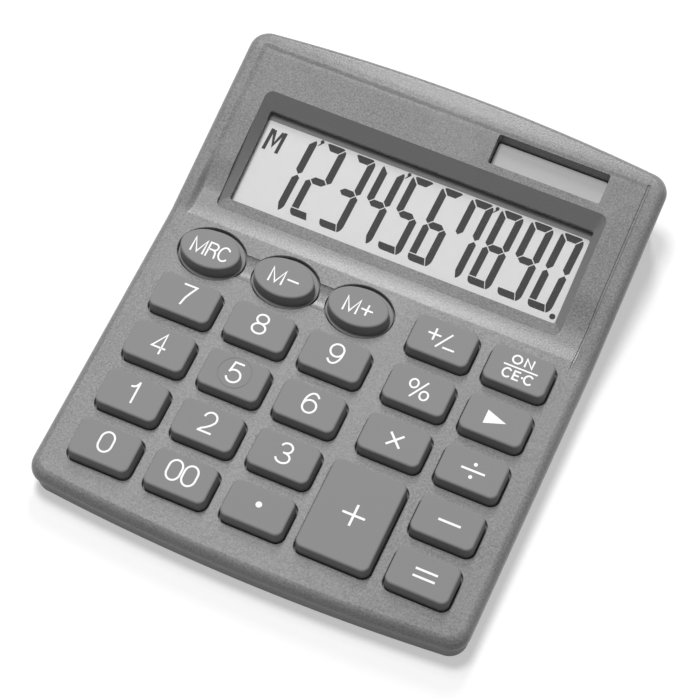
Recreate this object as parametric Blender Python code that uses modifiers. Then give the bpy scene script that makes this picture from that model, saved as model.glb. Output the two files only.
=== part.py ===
"""Desktop calculator with a sloped display, built as separate pieces.

The desk is at z = 0, +Y points to the display end and +X to the right.
What belongs to the casing is drawn in the casing's own frame, whose z = 0 is
the flat face around the keys.  That face rises by DESK_TILT to the rear.  The
top shell is cut while its face is still flat and is then lifted along its
side profile, so its pockets follow the sloped display end.
"""
import math

import bmesh
import bpy
from mathutils import Matrix

# Outer casing
BODY_WIDTH = 0.105
BODY_LENGTH = 0.1275
FRONT_BOW = 0.0026
REAR_BOW = 0.0031
CORNER_RADIUS = 0.0046
DESK_TILT = 1.0
DISPLAY_TILT = 11.3
FRONT_HEIGHT = 0.00925
SKIRT_DEPTH = 0.0033
CREST_MARGIN = 0.00685
DISPLAY_LENGTH = 0.0447
FACE_MARGIN = 0.0021
EDGE_DROP = 0.0013
WALL = 0.0016
TONGUE_WALL = 0.0008
TONGUE_HEIGHT = 0.0012
SHADOW_INSET = 0.0004
CASE_DRAFT = 0.0004
CHAMFER = 0.0007
GAP = 0.0003
OVERRUN = 0.002
WELD = 0.000001

# Sunk display panel and its window
RIM_WIDTH = 0.0042
PANEL_DROP = 0.0005
PANEL_REAR_DROP = 0.00012
PANEL_WALL = 0.0011
LEDGE_DROP = 0.0011
DIP_LENGTH = 0.00405
LEDGE_LENGTH = 0.0020
SWEEP_LENGTH = 0.0100
FRAME_DROP = 0.00292
FRAME_LIP = 0.0008
WINDOW_SIDE_MARGIN = 0.00765
WINDOW_FRONT_MARGIN = 0.0079
WINDOW_REAR_MARGIN = 0.01315
WINDOW_RADIUS = 0.0006
BEVEL_SIDE = 0.0021
BEVEL_REAR = 0.0030
BEVEL_RADIUS = 0.0016
WELL_WALL = 0.0012
STRIP_DEPTH = 0.0002
STRIP_LENGTH = 0.0029

# Solar cell window
SOLAR_WIDTH = 0.0276
SOLAR_LENGTH = 0.0074
SOLAR_SIDE_MARGIN = 0.00915
SOLAR_REAR_MARGIN = 0.00455
SOLAR_DEPTH = 0.0030
SOLAR_RADIUS = 0.0005
SOLAR_LIP = 0.0006

# Keys
COLUMN_COUNT = 5
ROW_COUNT = 5
KEYPAD_SIDE_MARGIN = 0.00655
KEYPAD_FRONT_MARGIN = 0.0137
KEYPAD_REAR_MARGIN = 0.00845
KEYPAD_OFFSET_X = 0.00024
BLOCK_GAP = 0.0020
WEB_WIDTH = 0.0026
WEB_LENGTH = 0.00285
HOLE_RADIUS = 0.0023
PLUS_EXTRA_WIDTH = 0.0025
OVAL_EXTRA_WIDTH = 0.0007
OVAL_EXTRA_LENGTH = 0.0023
OVAL_SHIFT_X = -0.00025
OVAL_SHIFT_Y = 0.0005
CHANNEL_WIDTH = 0.0064
CHANNEL_DEPTH = 0.0010
KEY_CLEARANCE = 0.00035
KEY_STAND = 0.0032
KEY_EDGE = 0.0004
KEY_DRAFT = 0.00022
KEY_WALL = 0.0011
KEY_FLANGE = 0.0006
KEY_FLANGE_DEPTH = 0.0006
KEY_ROOF = 0.0013
KEY_TRAVEL = 0.0011
PLUNGER_SHARE = 0.16
PLUNGER_REACH = 0.0006
OVAL_STEP = 0.0005
OVAL_STEP_STAND = 0.0009

# Rubber key sheet
SHEET_THICKNESS = 0.0005
SHEET_MARGIN = 0.0040
DOME_HEIGHT = 0.0013
DOME_RADIUS = 0.0034
DOME_TOP_RADIUS = 0.0020
DOME_SKIN = 0.0004

# Circuit board and what is on it
BOARD_THICKNESS = 0.0010
BOARD_SIDE_MARGIN = 0.0075
BOARD_FRONT_MARGIN = 0.0090
BOARD_SHOULDER_MARGIN = 0.00155
BOARD_REAR_MARGIN = 0.0055
TONGUE_SIDE_MARGIN = 0.00465
CHIP_RADIUS = 0.0055
CHIP_HEIGHT = 0.0013
CHIP_X = -0.0100
CHIP_REAR_MARGIN = 0.0085
CAPACITOR_RADIUS = 0.0010
CAPACITOR_LENGTH = 0.0052
CAPACITOR_X = 0.0140
CAPACITOR_REAR_MARGIN = 0.0060
BOARD_BOSS_RADIUS = 0.0016
BOARD_SCREW_RADIUS = 0.0006
BOARD_SCREW_HEAD = 0.0013
BOARD_SCREW_HEAD_DEPTH = 0.0006
BOARD_SCREW_BITE = 0.0022

# Display glass, its lens, its ribbon and the solar cell
LENS_THICKNESS = 0.0008
LENS_MARGIN = 0.0011
GLASS_THICKNESS = 0.0014
GLASS_MARGIN = 0.0009
RIBBON_SIDE_MARGIN = 0.0170
RIBBON_THICKNESS = 0.0003
RIBBON_FOOT = 0.0026
RIBBON_STEPS = 8
CELL_THICKNESS = 0.0011
CELL_MARGIN = 0.0006

# Underside
FLOOR_THICKNESS = 0.0016
FOOT_RADIUS = 0.0042
FOOT_HEIGHT = 0.0012
FOOT_STAND = 0.0006
FOOT_EDGE = 0.0003
FOOT_INSET_X = 0.0100
FOOT_INSET_Y = 0.0150
CASE_BOSS_RADIUS = 0.0015
CASE_TUBE_RADIUS = 0.0022
CASE_SCREW_RADIUS = 0.00075
CASE_SCREW_HEAD = 0.00135
CASE_SCREW_HEAD_DEPTH = 0.0011
CASE_SCREW_SINK = 0.0019
CASE_SCREW_BITE = 0.0026
CASE_SCREW_INSET_X = 0.0058
CASE_SCREW_INSET_Y = 0.0043
BOSS_FOOT_DROP = 0.0046

# Battery bay
BATTERY_RADIUS = 0.0058
BATTERY_HEIGHT = 0.0031
BATTERY_RIM = 0.0006
BAY_SIDE_MARGIN = 0.0303
BAY_REAR_MARGIN = 0.0140
BAY_WIDTH = 0.0190
BAY_LENGTH = 0.0165
BAY_WALL = 0.0010
BAY_LEDGE = 0.0014
BAY_RADIUS = 0.0010
COVER_THICKNESS = 0.0012
TAB_WIDTH = 0.0040
TAB_REACH = 0.0016
TAB_THICKNESS = 0.0008
TAB_LIP = 0.0005
TAB_SPACING = 0.0100
TAB_SWING = 0.0034
GRIP_COUNT = 4
GRIP_PITCH = 0.0013
GRIP_WIDTH = 0.0006
GRIP_DEPTH = 0.0003
GRIP_LENGTH = 0.0080
CONTACT_THICKNESS = 0.0003
CONTACT_WIDTH = 0.0042
CONTACT_REACH = 0.0060
LEAD_RADIUS = 0.0005
LEAD_DROP = 0.0030
LEAD_LIFT = 0.0010
LEAD_SPREAD = 0.0030
LEAD_SHIFT = 0.0055

CORNER_STEPS = 2
BODY_CORNER_STEPS = 4
BOW_STEPS = 6
ROUND_STEPS = 18
SMALL_STEPS = 8
DOME_STEPS = 8
OVAL_STEPS = 20
SWEEP_STEPS = 6

TILT = math.radians(DESK_TILT)
RISE = math.tan(math.radians(DISPLAY_TILT))
SLANT = math.cos(math.radians(DISPLAY_TILT))
HALF_WIDTH = BODY_WIDTH / 2
HALF_LENGTH = BODY_LENGTH / 2
BOWS = {-1: FRONT_BOW, 1: REAR_BOW}
CREST_Y = HALF_LENGTH - CREST_MARGIN
KINK_Y = CREST_Y - DISPLAY_LENGTH
LEDGE_Y = KINK_Y + DIP_LENGTH
SWEEP_START_Y = LEDGE_Y + LEDGE_LENGTH
SWEEP_END_Y = SWEEP_START_Y + SWEEP_LENGTH
PANEL_HALF_WIDTH = HALF_WIDTH - RIM_WIDTH
WINDOW_WIDTH = 2 * (PANEL_HALF_WIDTH - WINDOW_SIDE_MARGIN)
WINDOW_FRONT_Y = KINK_Y + WINDOW_FRONT_MARGIN
WINDOW_REAR_Y = CREST_Y - WINDOW_REAR_MARGIN
SOLAR_X = PANEL_HALF_WIDTH - SOLAR_SIDE_MARGIN - SOLAR_WIDTH / 2
SOLAR_Y = CREST_Y - SOLAR_REAR_MARGIN
FACE_HEIGHT = FOOT_STAND + FRONT_HEIGHT * math.cos(TILT) + HALF_LENGTH * math.sin(TILT)
INNER_FLOOR = FOOT_STAND + FLOOR_THICKNESS
PART_LINE = -SKIRT_DEPTH - GAP

# The keypad fills the face between its margins
KEYPAD_WIDTH = BODY_WIDTH - 2 * KEYPAD_SIDE_MARGIN - BLOCK_GAP
HOLE_WIDTH = (KEYPAD_WIDTH - (COLUMN_COUNT - 1) * WEB_WIDTH) / COLUMN_COUNT
COLUMN_PITCH = HOLE_WIDTH + WEB_WIDTH
LAST_ROW_Y = -HALF_LENGTH + KEYPAD_FRONT_MARGIN
ROW_PITCH = (KINK_Y - KEYPAD_REAR_MARGIN - LAST_ROW_Y) / (ROW_COUNT - 1)
HOLE_LENGTH = ROW_PITCH - WEB_LENGTH
OVAL_HOLE_WIDTH = HOLE_WIDTH + OVAL_EXTRA_WIDTH
OVAL_HOLE_LENGTH = HOLE_LENGTH + OVAL_EXTRA_LENGTH
PLUNGER_RADIUS = HOLE_LENGTH * PLUNGER_SHARE

# Places inside the case
BOARD_HALF_WIDTH = HALF_WIDTH - BOARD_SIDE_MARGIN
BOARD_TONGUE_HALF_WIDTH = WINDOW_WIDTH / 2 - TONGUE_SIDE_MARGIN
RIBBON_WIDTH = 2 * (BOARD_TONGUE_HALF_WIDTH - RIBBON_SIDE_MARGIN)
BOARD_FRONT_Y = -HALF_LENGTH + BOARD_FRONT_MARGIN
BOARD_SHOULDER_Y = KINK_Y + BOARD_SHOULDER_MARGIN
BOARD_REAR_Y = WINDOW_REAR_Y - BOARD_REAR_MARGIN
CHIP_Y = BOARD_REAR_Y - CHIP_REAR_MARGIN
CAPACITOR_Y = BOARD_REAR_Y - CAPACITOR_REAR_MARGIN
BAY_X = -PANEL_HALF_WIDTH + BAY_SIDE_MARGIN
BAY_Y = HALF_LENGTH - BAY_REAR_MARGIN

# The stack below the face, from the key flanges down to the board
FLANGE_TOP = -WALL - GAP
FLANGE_BOTTOM = FLANGE_TOP - KEY_FLANGE_DEPTH
PLUNGER_BOTTOM = FLANGE_BOTTOM - PLUNGER_REACH
DOME_TOP = PLUNGER_BOTTOM - GAP
SHEET_TOP = DOME_TOP - DOME_HEIGHT
SHEET_BOTTOM = SHEET_TOP - SHEET_THICKNESS
BOARD_TOP = SHEET_BOTTOM - GAP
BOARD_BOTTOM = BOARD_TOP - BOARD_THICKNESS

# The stack below the display window, square to the display
SOLAR_FLOOR = -PANEL_DROP - SOLAR_DEPTH - (LENS_THICKNESS + GAP) / SLANT
LENS_TOP = -FRAME_LIP - GAP
GLASS_TOP = LENS_TOP - LENS_THICKNESS - GAP
GLASS_BOTTOM = GLASS_TOP - GLASS_THICKNESS

# The column and the row from the front of each small key
SMALL_KEYS = {
    "key_7": (0, 3), "key_8": (1, 3), "key_9": (2, 3), "key_percent": (3, 3), "key_backspace": (4, 3),
    "key_4": (0, 2), "key_5": (1, 2), "key_6": (2, 2), "key_times": (3, 2), "key_divide": (4, 2),
    "key_1": (0, 1), "key_2": (1, 1), "key_3": (2, 1), "key_minus": (4, 1),
    "key_0": (0, 0), "key_00": (1, 0), "key_point": (2, 0), "key_equals": (4, 0),
    "key_sign": (3, 4), "key_on_clear": (4, 4),
}
MEMORY_KEYS = {"key_memory_recall": 0, "key_memory_minus": 1, "key_memory_plus": 2}
BOARD_BOSSES = ((0, 3), (0, 0), (3, 3), (3, 1))
CORNERS = {"front_left": (-1, -1), "front_right": (1, -1), "rear_left": (-1, 1), "rear_right": (1, 1)}

for old in list(bpy.data.objects):
    bpy.data.objects.remove(old)

parts = bpy.data.collections.new("desktop_calculator")
cutters = bpy.data.collections.new("cutters")
bpy.context.scene.collection.children.link(parts)
bpy.context.scene.collection.children.link(cutters)


def frame_empty(name, parent=None):
    made = bpy.data.objects.new(name, None)
    made.parent = parent
    parts.objects.link(made)
    return made


case_frame = frame_empty("case_frame")
case_frame.location.z = FACE_HEIGHT
case_frame.rotation_euler.x = TILT


def material(name, colour, roughness, metallic=0.0, transmission=0.0):
    made = bpy.data.materials.new(name)
    made.use_nodes = True
    shader = made.node_tree.nodes["Principled BSDF"]
    shader.inputs["Base Color"].default_value = (*colour, 1.0)
    shader.inputs["Roughness"].default_value = roughness
    shader.inputs["Metallic"].default_value = metallic
    shader.inputs["Transmission Weight"].default_value = transmission
    return made


GREY_PAINT = material("grey_paint", (0.27, 0.27, 0.27), 0.45)
DARK_SHELL = material("dark_shell", (0.15, 0.15, 0.15), 0.5)
KEY_PLASTIC = material("key_plastic", (0.22, 0.22, 0.22), 0.4)
CLEAR_PLASTIC = material("clear_plastic", (0.95, 0.95, 0.95), 0.05, transmission=0.9)
DISPLAY_GLASS = material("display_glass", (0.62, 0.62, 0.60), 0.25)
SOLAR_FILM = material("solar_film", (0.38, 0.38, 0.38), 0.3)
SILICONE = material("silicone", (0.70, 0.70, 0.68), 0.7)
BOARD_RESIN = material("board_resin", (0.30, 0.22, 0.10), 0.6)
BLACK_EPOXY = material("black_epoxy", (0.02, 0.02, 0.02), 0.35)
PLATED_STEEL = material("plated_steel", (0.70, 0.70, 0.70), 0.3, metallic=1.0)
CAPACITOR_SLEEVE = material("capacitor_sleeve", (0.05, 0.06, 0.12), 0.4)
RIBBON_FILM = material("ribbon_film", (0.75, 0.72, 0.62), 0.4)
BLACK_RUBBER = material("black_rubber", (0.04, 0.04, 0.04), 0.8)
RED_SLEEVE = material("red_sleeve", (0.45, 0.03, 0.03), 0.5)
BLACK_SLEEVE = material("black_sleeve", (0.03, 0.03, 0.03), 0.5)


# Outlines: lists of (x, y) running round a shape

def rounded_rectangle(width, length, radius, centre=(0, 0), steps=CORNER_STEPS):
    points = []
    for side_x, side_y, start in ((1, -1, -90), (1, 1, 0), (-1, 1, 90), (-1, -1, 180)):
        corner_x = centre[0] + side_x * (width / 2 - radius)
        corner_y = centre[1] + side_y * (length / 2 - radius)
        for k in range(steps + 1):
            angle = math.radians(start + 90 * k / steps)
            points.append((corner_x + radius * math.cos(angle), corner_y + radius * math.sin(angle)))
    return points


def ellipse(width, length, centre=(0, 0), steps=OVAL_STEPS):
    angles = [2 * math.pi * k / steps for k in range(steps)]
    return [(centre[0] + width / 2 * math.cos(a), centre[1] + length / 2 * math.sin(a)) for a in angles]


def casing_outline(inset):
    """The casing from above: bowed front and rear ends and round corners."""
    radius = CORNER_RADIUS - inset / 2
    reach = HALF_WIDTH - inset - radius
    turn_y = {end: end * (HALF_LENGTH - inset - radius - bow * (reach / HALF_WIDTH) ** 2)
              for end, bow in BOWS.items()}
    outline = []
    for end, bow in BOWS.items():
        for k in range(BOW_STEPS + 1):
            x = end * reach * (1 - 2 * k / BOW_STEPS)
            outline.append((x, end * (HALF_LENGTH - inset - bow * (x / HALF_WIDTH) ** 2)))
        for k in range(1, BODY_CORNER_STEPS + 1):
            angle = math.radians(90 * k / BODY_CORNER_STEPS)
            x = reach + radius * math.sin(angle)
            outline.append((-end * x, turn_y[end] + end * radius * math.cos(angle)))
        for k in range(BODY_CORNER_STEPS):
            angle = math.radians(90 * k / BODY_CORNER_STEPS)
            x = reach + radius * math.cos(angle)
            outline.append((-end * x, turn_y[-end] - end * radius * math.sin(angle)))
    return outline


# Heights along the length of the casing, in its own frame

def rim_height(y):
    """The side rims: flat beside the keys, then rising to the crest."""
    return RISE * (min(max(y, KINK_Y), CREST_Y) - KINK_Y)


def ease(share):
    share = min(max(share, 0), 1)
    return share * share * (3 - 2 * share)


def panel_height(y):
    """The sunk panel: a dip before the window, then a sweep up beside it."""
    dip = -LEDGE_DROP * ease((y - KINK_Y) / (LEDGE_Y - KINK_Y))
    rearward = max(y - SWEEP_END_Y, 0) / (CREST_Y - SWEEP_END_Y)
    plane = rim_height(y) - PANEL_DROP - (PANEL_REAR_DROP - PANEL_DROP) * rearward
    return dip + (plane - dip) * ease((y - SWEEP_START_Y) / (SWEEP_END_Y - SWEEP_START_Y))


def panel_depth(y):
    return rim_height(y) - panel_height(y)


def stations(first, last, steps):
    return [first + (last - first) * k / steps for k in range(steps + 1)]


def column_x(column):
    x = (column - 2) * COLUMN_PITCH - BLOCK_GAP / 2 + KEYPAD_OFFSET_X
    return x + BLOCK_GAP if column > 2 else x


def row_y(row):
    return LAST_ROW_Y + row * ROW_PITCH


def between_columns(column):
    return (column_x(column) + column_x(column + 1)) / 2


# Solids

def stack(bm, rings):
    """Fill the first ring, then extrude that face from ring to ring."""
    bottom = bm.faces.new([bm.verts.new(point) for point in rings[0]])
    face = bottom
    for ring in rings[1:]:
        grown = bmesh.ops.extrude_face_region(bm, geom=[face])["geom"]
        if face is not bottom:
            bmesh.ops.delete(bm, geom=[face], context="FACES_ONLY")
        face = next(item for item in grown if isinstance(item, bmesh.types.BMFace))
        for vert, point in zip(face.verts, ring):
            vert.co = point


def at_height(outline, z):
    return [(x, y, z) for x, y in outline]


def finish(bm, name, shade, parent):
    """Make the mesh an object, or a cutter if it has no material."""
    bmesh.ops.recalc_face_normals(bm, faces=bm.faces)
    mesh = bpy.data.meshes.new(name)
    bm.to_mesh(mesh)
    bm.free()
    made = bpy.data.objects.new(name, mesh)
    made.parent = parent
    if shade is None:
        made.hide_render = True
        made.display_type = "WIRE"
        cutters.objects.link(made)
    else:
        mesh.materials.append(shade)
        parts.objects.link(made)
    return made


def tiers(name, rings, shade=None, parent=case_frame):
    bm = bmesh.new()
    stack(bm, rings)
    return finish(bm, name, shade, parent)


def plates(name, outlines, bottom, top, shade=None, parent=case_frame):
    """One straight-sided solid for each outline, all in one object."""
    bm = bmesh.new()
    for outline in outlines:
        stack(bm, [at_height(outline, bottom), at_height(outline, top)])
    return finish(bm, name, shade, parent)


def bar(name, profile, half_width, shade=None, parent=case_frame):
    """A side profile of (y, z) points, drawn out along X about the middle."""
    rings = [[(side * half_width, y, z) for y, z in profile] for side in (-1, 1)]
    return tiers(name, rings, shade, parent)


def box(name, low, high, shade=None, parent=case_frame):
    bm = bmesh.new()
    bmesh.ops.create_cube(bm, size=1)
    for vert in bm.verts:
        vert.co = [lo if c < 0 else hi for c, lo, hi in zip(vert.co, low, high)]
    return finish(bm, name, shade, parent)


def cones(name, places, low_radius, high_radius, bottom, top, steps, shade=None, parent=case_frame):
    """A cone or cylinder on each place, all in one object."""
    bm = bmesh.new()
    for x, y in places:
        spot = Matrix.Translation((x, y, (bottom + top) / 2))
        bmesh.ops.create_cone(
            bm,
            cap_ends=True,
            segments=steps,
            radius1=low_radius,
            radius2=high_radius,
            depth=top - bottom,
            matrix=spot,
        )
    return finish(bm, name, shade, parent)


def cylinders(name, places, radius, bottom, top, steps=ROUND_STEPS, parent=case_frame):
    return cones(name, places, radius, radius, bottom, top, steps, parent=parent)


def turned(name, profile, place, steps, shade=None, parent=case_frame):
    """A profile of (radius, z) points, from the top down, turned about Z."""
    bm = bmesh.new()
    points = [bm.verts.new((radius, 0, z)) for radius, z in profile]
    for first, second in zip(points, points[1:]):
        bm.edges.new((first, second))
    made = finish(bm, name, shade, parent)
    made.location = (*place, 0)
    screw = made.modifiers.new("turn", "SCREW")
    screw.steps = steps
    screw.render_steps = steps
    screw.use_merge_vertices = True
    screw.merge_threshold = WELD
    return made


def set_origin(target, place):
    """Put a moving piece's origin on its joint, without moving the piece."""
    target.data.transform(Matrix.Translation([-c for c in place]))
    target.location = place


def combine(target, tool, operation="DIFFERENCE"):
    step = target.modifiers.new(tool.name, "BOOLEAN")
    step.operation = operation
    step.object = tool


def settle(target):
    """Fix the target's shape as its modifiers leave it."""
    bpy.context.view_layer.update()
    depsgraph = bpy.context.evaluated_depsgraph_get()
    shaped = bpy.data.meshes.new_from_object(target.evaluated_get(depsgraph))
    target.modifiers.clear()
    target.data = shaped


def bend(target, height_at):
    """Cut the target across where the side profile turns, then move its points."""
    bm = bmesh.new()
    bm.from_mesh(target.data)
    for y in (KINK_Y, CREST_Y):
        geometry = bm.verts[:] + bm.edges[:] + bm.faces[:]
        bmesh.ops.bisect_plane(bm, geom=geometry, plane_co=(0, y, 0), plane_no=(0, 1, 0), dist=WELD)
    for vert in bm.verts:
        vert.co.z = height_at(vert.co.y, vert.co.z)
    bm.to_mesh(target.data)
    bm.free()


# Places shared by the pieces

def hole_outline(key, growth):
    """The outline of a small key's hole, grown on all sides."""
    centre = (column_x(SMALL_KEYS[key][0]), row_y(SMALL_KEYS[key][1]))
    return rounded_rectangle(HOLE_WIDTH + 2 * growth, HOLE_LENGTH + 2 * growth, HOLE_RADIUS + growth, centre)


def plus_outline(growth):
    x = column_x(3) - PLUS_EXTRA_WIDTH / 2
    y = (row_y(0) + row_y(1)) / 2
    width = HOLE_WIDTH + PLUS_EXTRA_WIDTH + 2 * growth
    length = HOLE_LENGTH + ROW_PITCH + 2 * growth
    return rounded_rectangle(width, length, HOLE_RADIUS + growth, (x, y))


def oval_centre(key):
    return (column_x(MEMORY_KEYS[key]) + OVAL_SHIFT_X, row_y(4) + OVAL_SHIFT_Y)


def oval_outline(key, growth):
    return ellipse(OVAL_HOLE_WIDTH + 2 * growth, OVAL_HOLE_LENGTH + 2 * growth, oval_centre(key))


def window_outline(side, front, rear, radius):
    """The display window, grown by side, front and rear."""
    front_y = WINDOW_FRONT_Y - front
    rear_y = WINDOW_REAR_Y + rear
    centre = (0, (front_y + rear_y) / 2)
    return rounded_rectangle(WINDOW_WIDTH + 2 * side, rear_y - front_y, radius, centre)


def solar_outline(growth):
    radius = SOLAR_RADIUS + max(growth, 0)
    return rounded_rectangle(SOLAR_WIDTH + 2 * growth, SOLAR_LENGTH + 2 * growth, radius, (SOLAR_X, SOLAR_Y))


def key_centres():
    centres = {key: (column_x(column), row_y(row)) for key, (column, row) in SMALL_KEYS.items()}
    centres["key_plus"] = (column_x(3) - PLUS_EXTRA_WIDTH / 2, (row_y(0) + row_y(1)) / 2)
    centres.update({key: oval_centre(key) for key in MEMORY_KEYS})
    return centres


def board_boss_places():
    return [(between_columns(column), row_y(row) + ROW_PITCH / 2) for column, row in BOARD_BOSSES]


def case_screw_place(corner):
    side_x, side_y = CORNERS[corner]
    reach_y = HALF_LENGTH - BOWS[side_y] - CASE_SCREW_INSET_Y
    return (side_x * (HALF_WIDTH - CASE_SCREW_INSET_X), side_y * reach_y)


def on_display(outline, w):
    """Points of a plan outline, moved onto the plane w above the window frame."""
    frame_z = -FRAME_DROP
    return [(x, y, rim_height(y) + frame_z + w / SLANT) for x, y in outline]


# Casing pieces

def make_top_housing():
    edge = (
        (0, -SKIRT_DEPTH),
        (SHADOW_INSET / 4, -SKIRT_DEPTH * 2 / 3),
        (FACE_MARGIN / 4, -EDGE_DROP),
        (FACE_MARGIN * 3 / 5, -EDGE_DROP * 2 / 5),
        (FACE_MARGIN, 0),
    )
    housing = tiers("top_housing", [at_height(casing_outline(i), z) for i, z in edge], GREY_PAINT)
    inner = ((WALL, -SKIRT_DEPTH - OVERRUN), (WALL, -SKIRT_DEPTH), (FACE_MARGIN, -WALL))
    hollow = tiers("shell_hollow", [at_height(casing_outline(i), z) for i, z in inner])
    combine(housing, hollow)

    turns = stations(KINK_Y, LEDGE_Y, SWEEP_STEPS // 2) + stations(SWEEP_START_Y, SWEEP_END_Y, SWEEP_STEPS)
    frame_bottom = -FRAME_DROP - FRAME_LIP
    under = [(y, max(-panel_depth(y) - WALL, frame_bottom)) for y in turns]
    roof = [(turns[-1], -WALL / 2), (turns[0], -WALL / 2)]
    combine(housing, bar("panel_underside", under + roof, PANEL_HALF_WIDTH + PANEL_WALL), "UNION")
    well = window_outline(BEVEL_SIDE + WELL_WALL, LENS_MARGIN, BEVEL_REAR + WELL_WALL, BEVEL_RADIUS)
    combine(housing, plates("window_well", [well], frame_bottom, -PANEL_DROP - WALL / 2), "UNION")
    roof = -PANEL_DROP - WALL / 2
    solar_well = plates("solar_well", [solar_outline(WELL_WALL)], SOLAR_FLOOR - SOLAR_LIP, roof)
    combine(housing, solar_well, "UNION")

    floor = [(y, -panel_depth(y)) for y in turns + [CREST_Y]]
    lid = [(CREST_Y, OVERRUN), (KINK_Y, OVERRUN)]
    combine(housing, bar("panel_pocket", floor + lid, PANEL_HALF_WIDTH))
    strip_y = WINDOW_FRONT_Y - STRIP_LENGTH
    strip_floor = [(y, -panel_depth(y) - STRIP_DEPTH) for y in (strip_y, SWEEP_START_Y, WINDOW_FRONT_Y)]
    strip_lid = [(WINDOW_FRONT_Y, -FRAME_DROP / 2), (strip_y, -FRAME_DROP / 2)]
    combine(housing, bar("front_strip", strip_floor + strip_lid, WINDOW_WIDTH / 2 + BEVEL_SIDE / 2))

    bevel_scale = (FRAME_DROP + OVERRUN) / (FRAME_DROP - PANEL_DROP)
    side, rear, radius = (size * bevel_scale for size in (BEVEL_SIDE, BEVEL_REAR, BEVEL_RADIUS))
    bevel = [
        at_height(window_outline(0, 0, 0, WINDOW_RADIUS), -FRAME_DROP),
        at_height(window_outline(side, 0, rear, radius), OVERRUN),
    ]
    combine(housing, tiers("window_bevel", bevel))
    opening = window_outline(0, 0, 0, WINDOW_RADIUS)
    combine(housing, plates("window_opening", [opening], frame_bottom - OVERRUN, -FRAME_DROP + OVERRUN / 2))
    combine(housing, plates("solar_recess", [solar_outline(0)], SOLAR_FLOOR, OVERRUN))
    opening = solar_outline(-SOLAR_LIP)
    combine(housing, plates("solar_opening", [opening], SOLAR_FLOOR - OVERRUN, SOLAR_FLOOR + OVERRUN / 4))

    holes = [hole_outline(key, 0) for key in SMALL_KEYS] + [plus_outline(0)]
    holes += [oval_outline(key, 0) for key in MEMORY_KEYS]
    combine(housing, plates("key_holes", holes, -WALL - OVERRUN, OVERRUN))
    first, _, last = [oval_centre(key) for key in MEMORY_KEYS]
    channel_low = (first[0], first[1] - CHANNEL_WIDTH / 2, -CHANNEL_DEPTH)
    channel_high = (last[0], last[1] + CHANNEL_WIDTH / 2, OVERRUN)
    combine(housing, box("memory_channel", channel_low, channel_high))
    settle(housing)
    bend(housing, lambda y, z: z + rim_height(y))

    screws = [case_screw_place(corner) for corner in CORNERS]
    rear_roof = rim_height(CREST_Y) - WALL / 2 - PANEL_DROP
    for end, roof in ((-1, -WALL / 2), (1, rear_roof)):
        places = [place for place in screws if place[1] * end > 0]
        bosses = cylinders(f"case_bosses_{end + 2}", places, CASE_BOSS_RADIUS, -BOSS_FOOT_DROP, roof)
        combine(housing, bosses, "UNION")
    board_foot = BOARD_TOP + GAP
    board_bosses = board_boss_places()
    bosses = cylinders("board_bosses", board_bosses, BOARD_BOSS_RADIUS, board_foot, -WALL / 2)
    combine(housing, bosses, "UNION")
    bore_top = -BOSS_FOOT_DROP + CASE_SCREW_BITE + GAP
    bore = CASE_SCREW_RADIUS + GAP
    bores = cylinders("case_screw_bores", screws, bore, -BOSS_FOOT_DROP - OVERRUN, bore_top, SMALL_STEPS)
    combine(housing, bores)
    bore_top = board_foot + BOARD_SCREW_BITE + GAP
    bore = BOARD_SCREW_RADIUS + GAP
    bores = cylinders("board_screw_bores", board_bosses, bore, board_foot - OVERRUN, bore_top, SMALL_STEPS)
    combine(housing, bores)
    return housing


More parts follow.
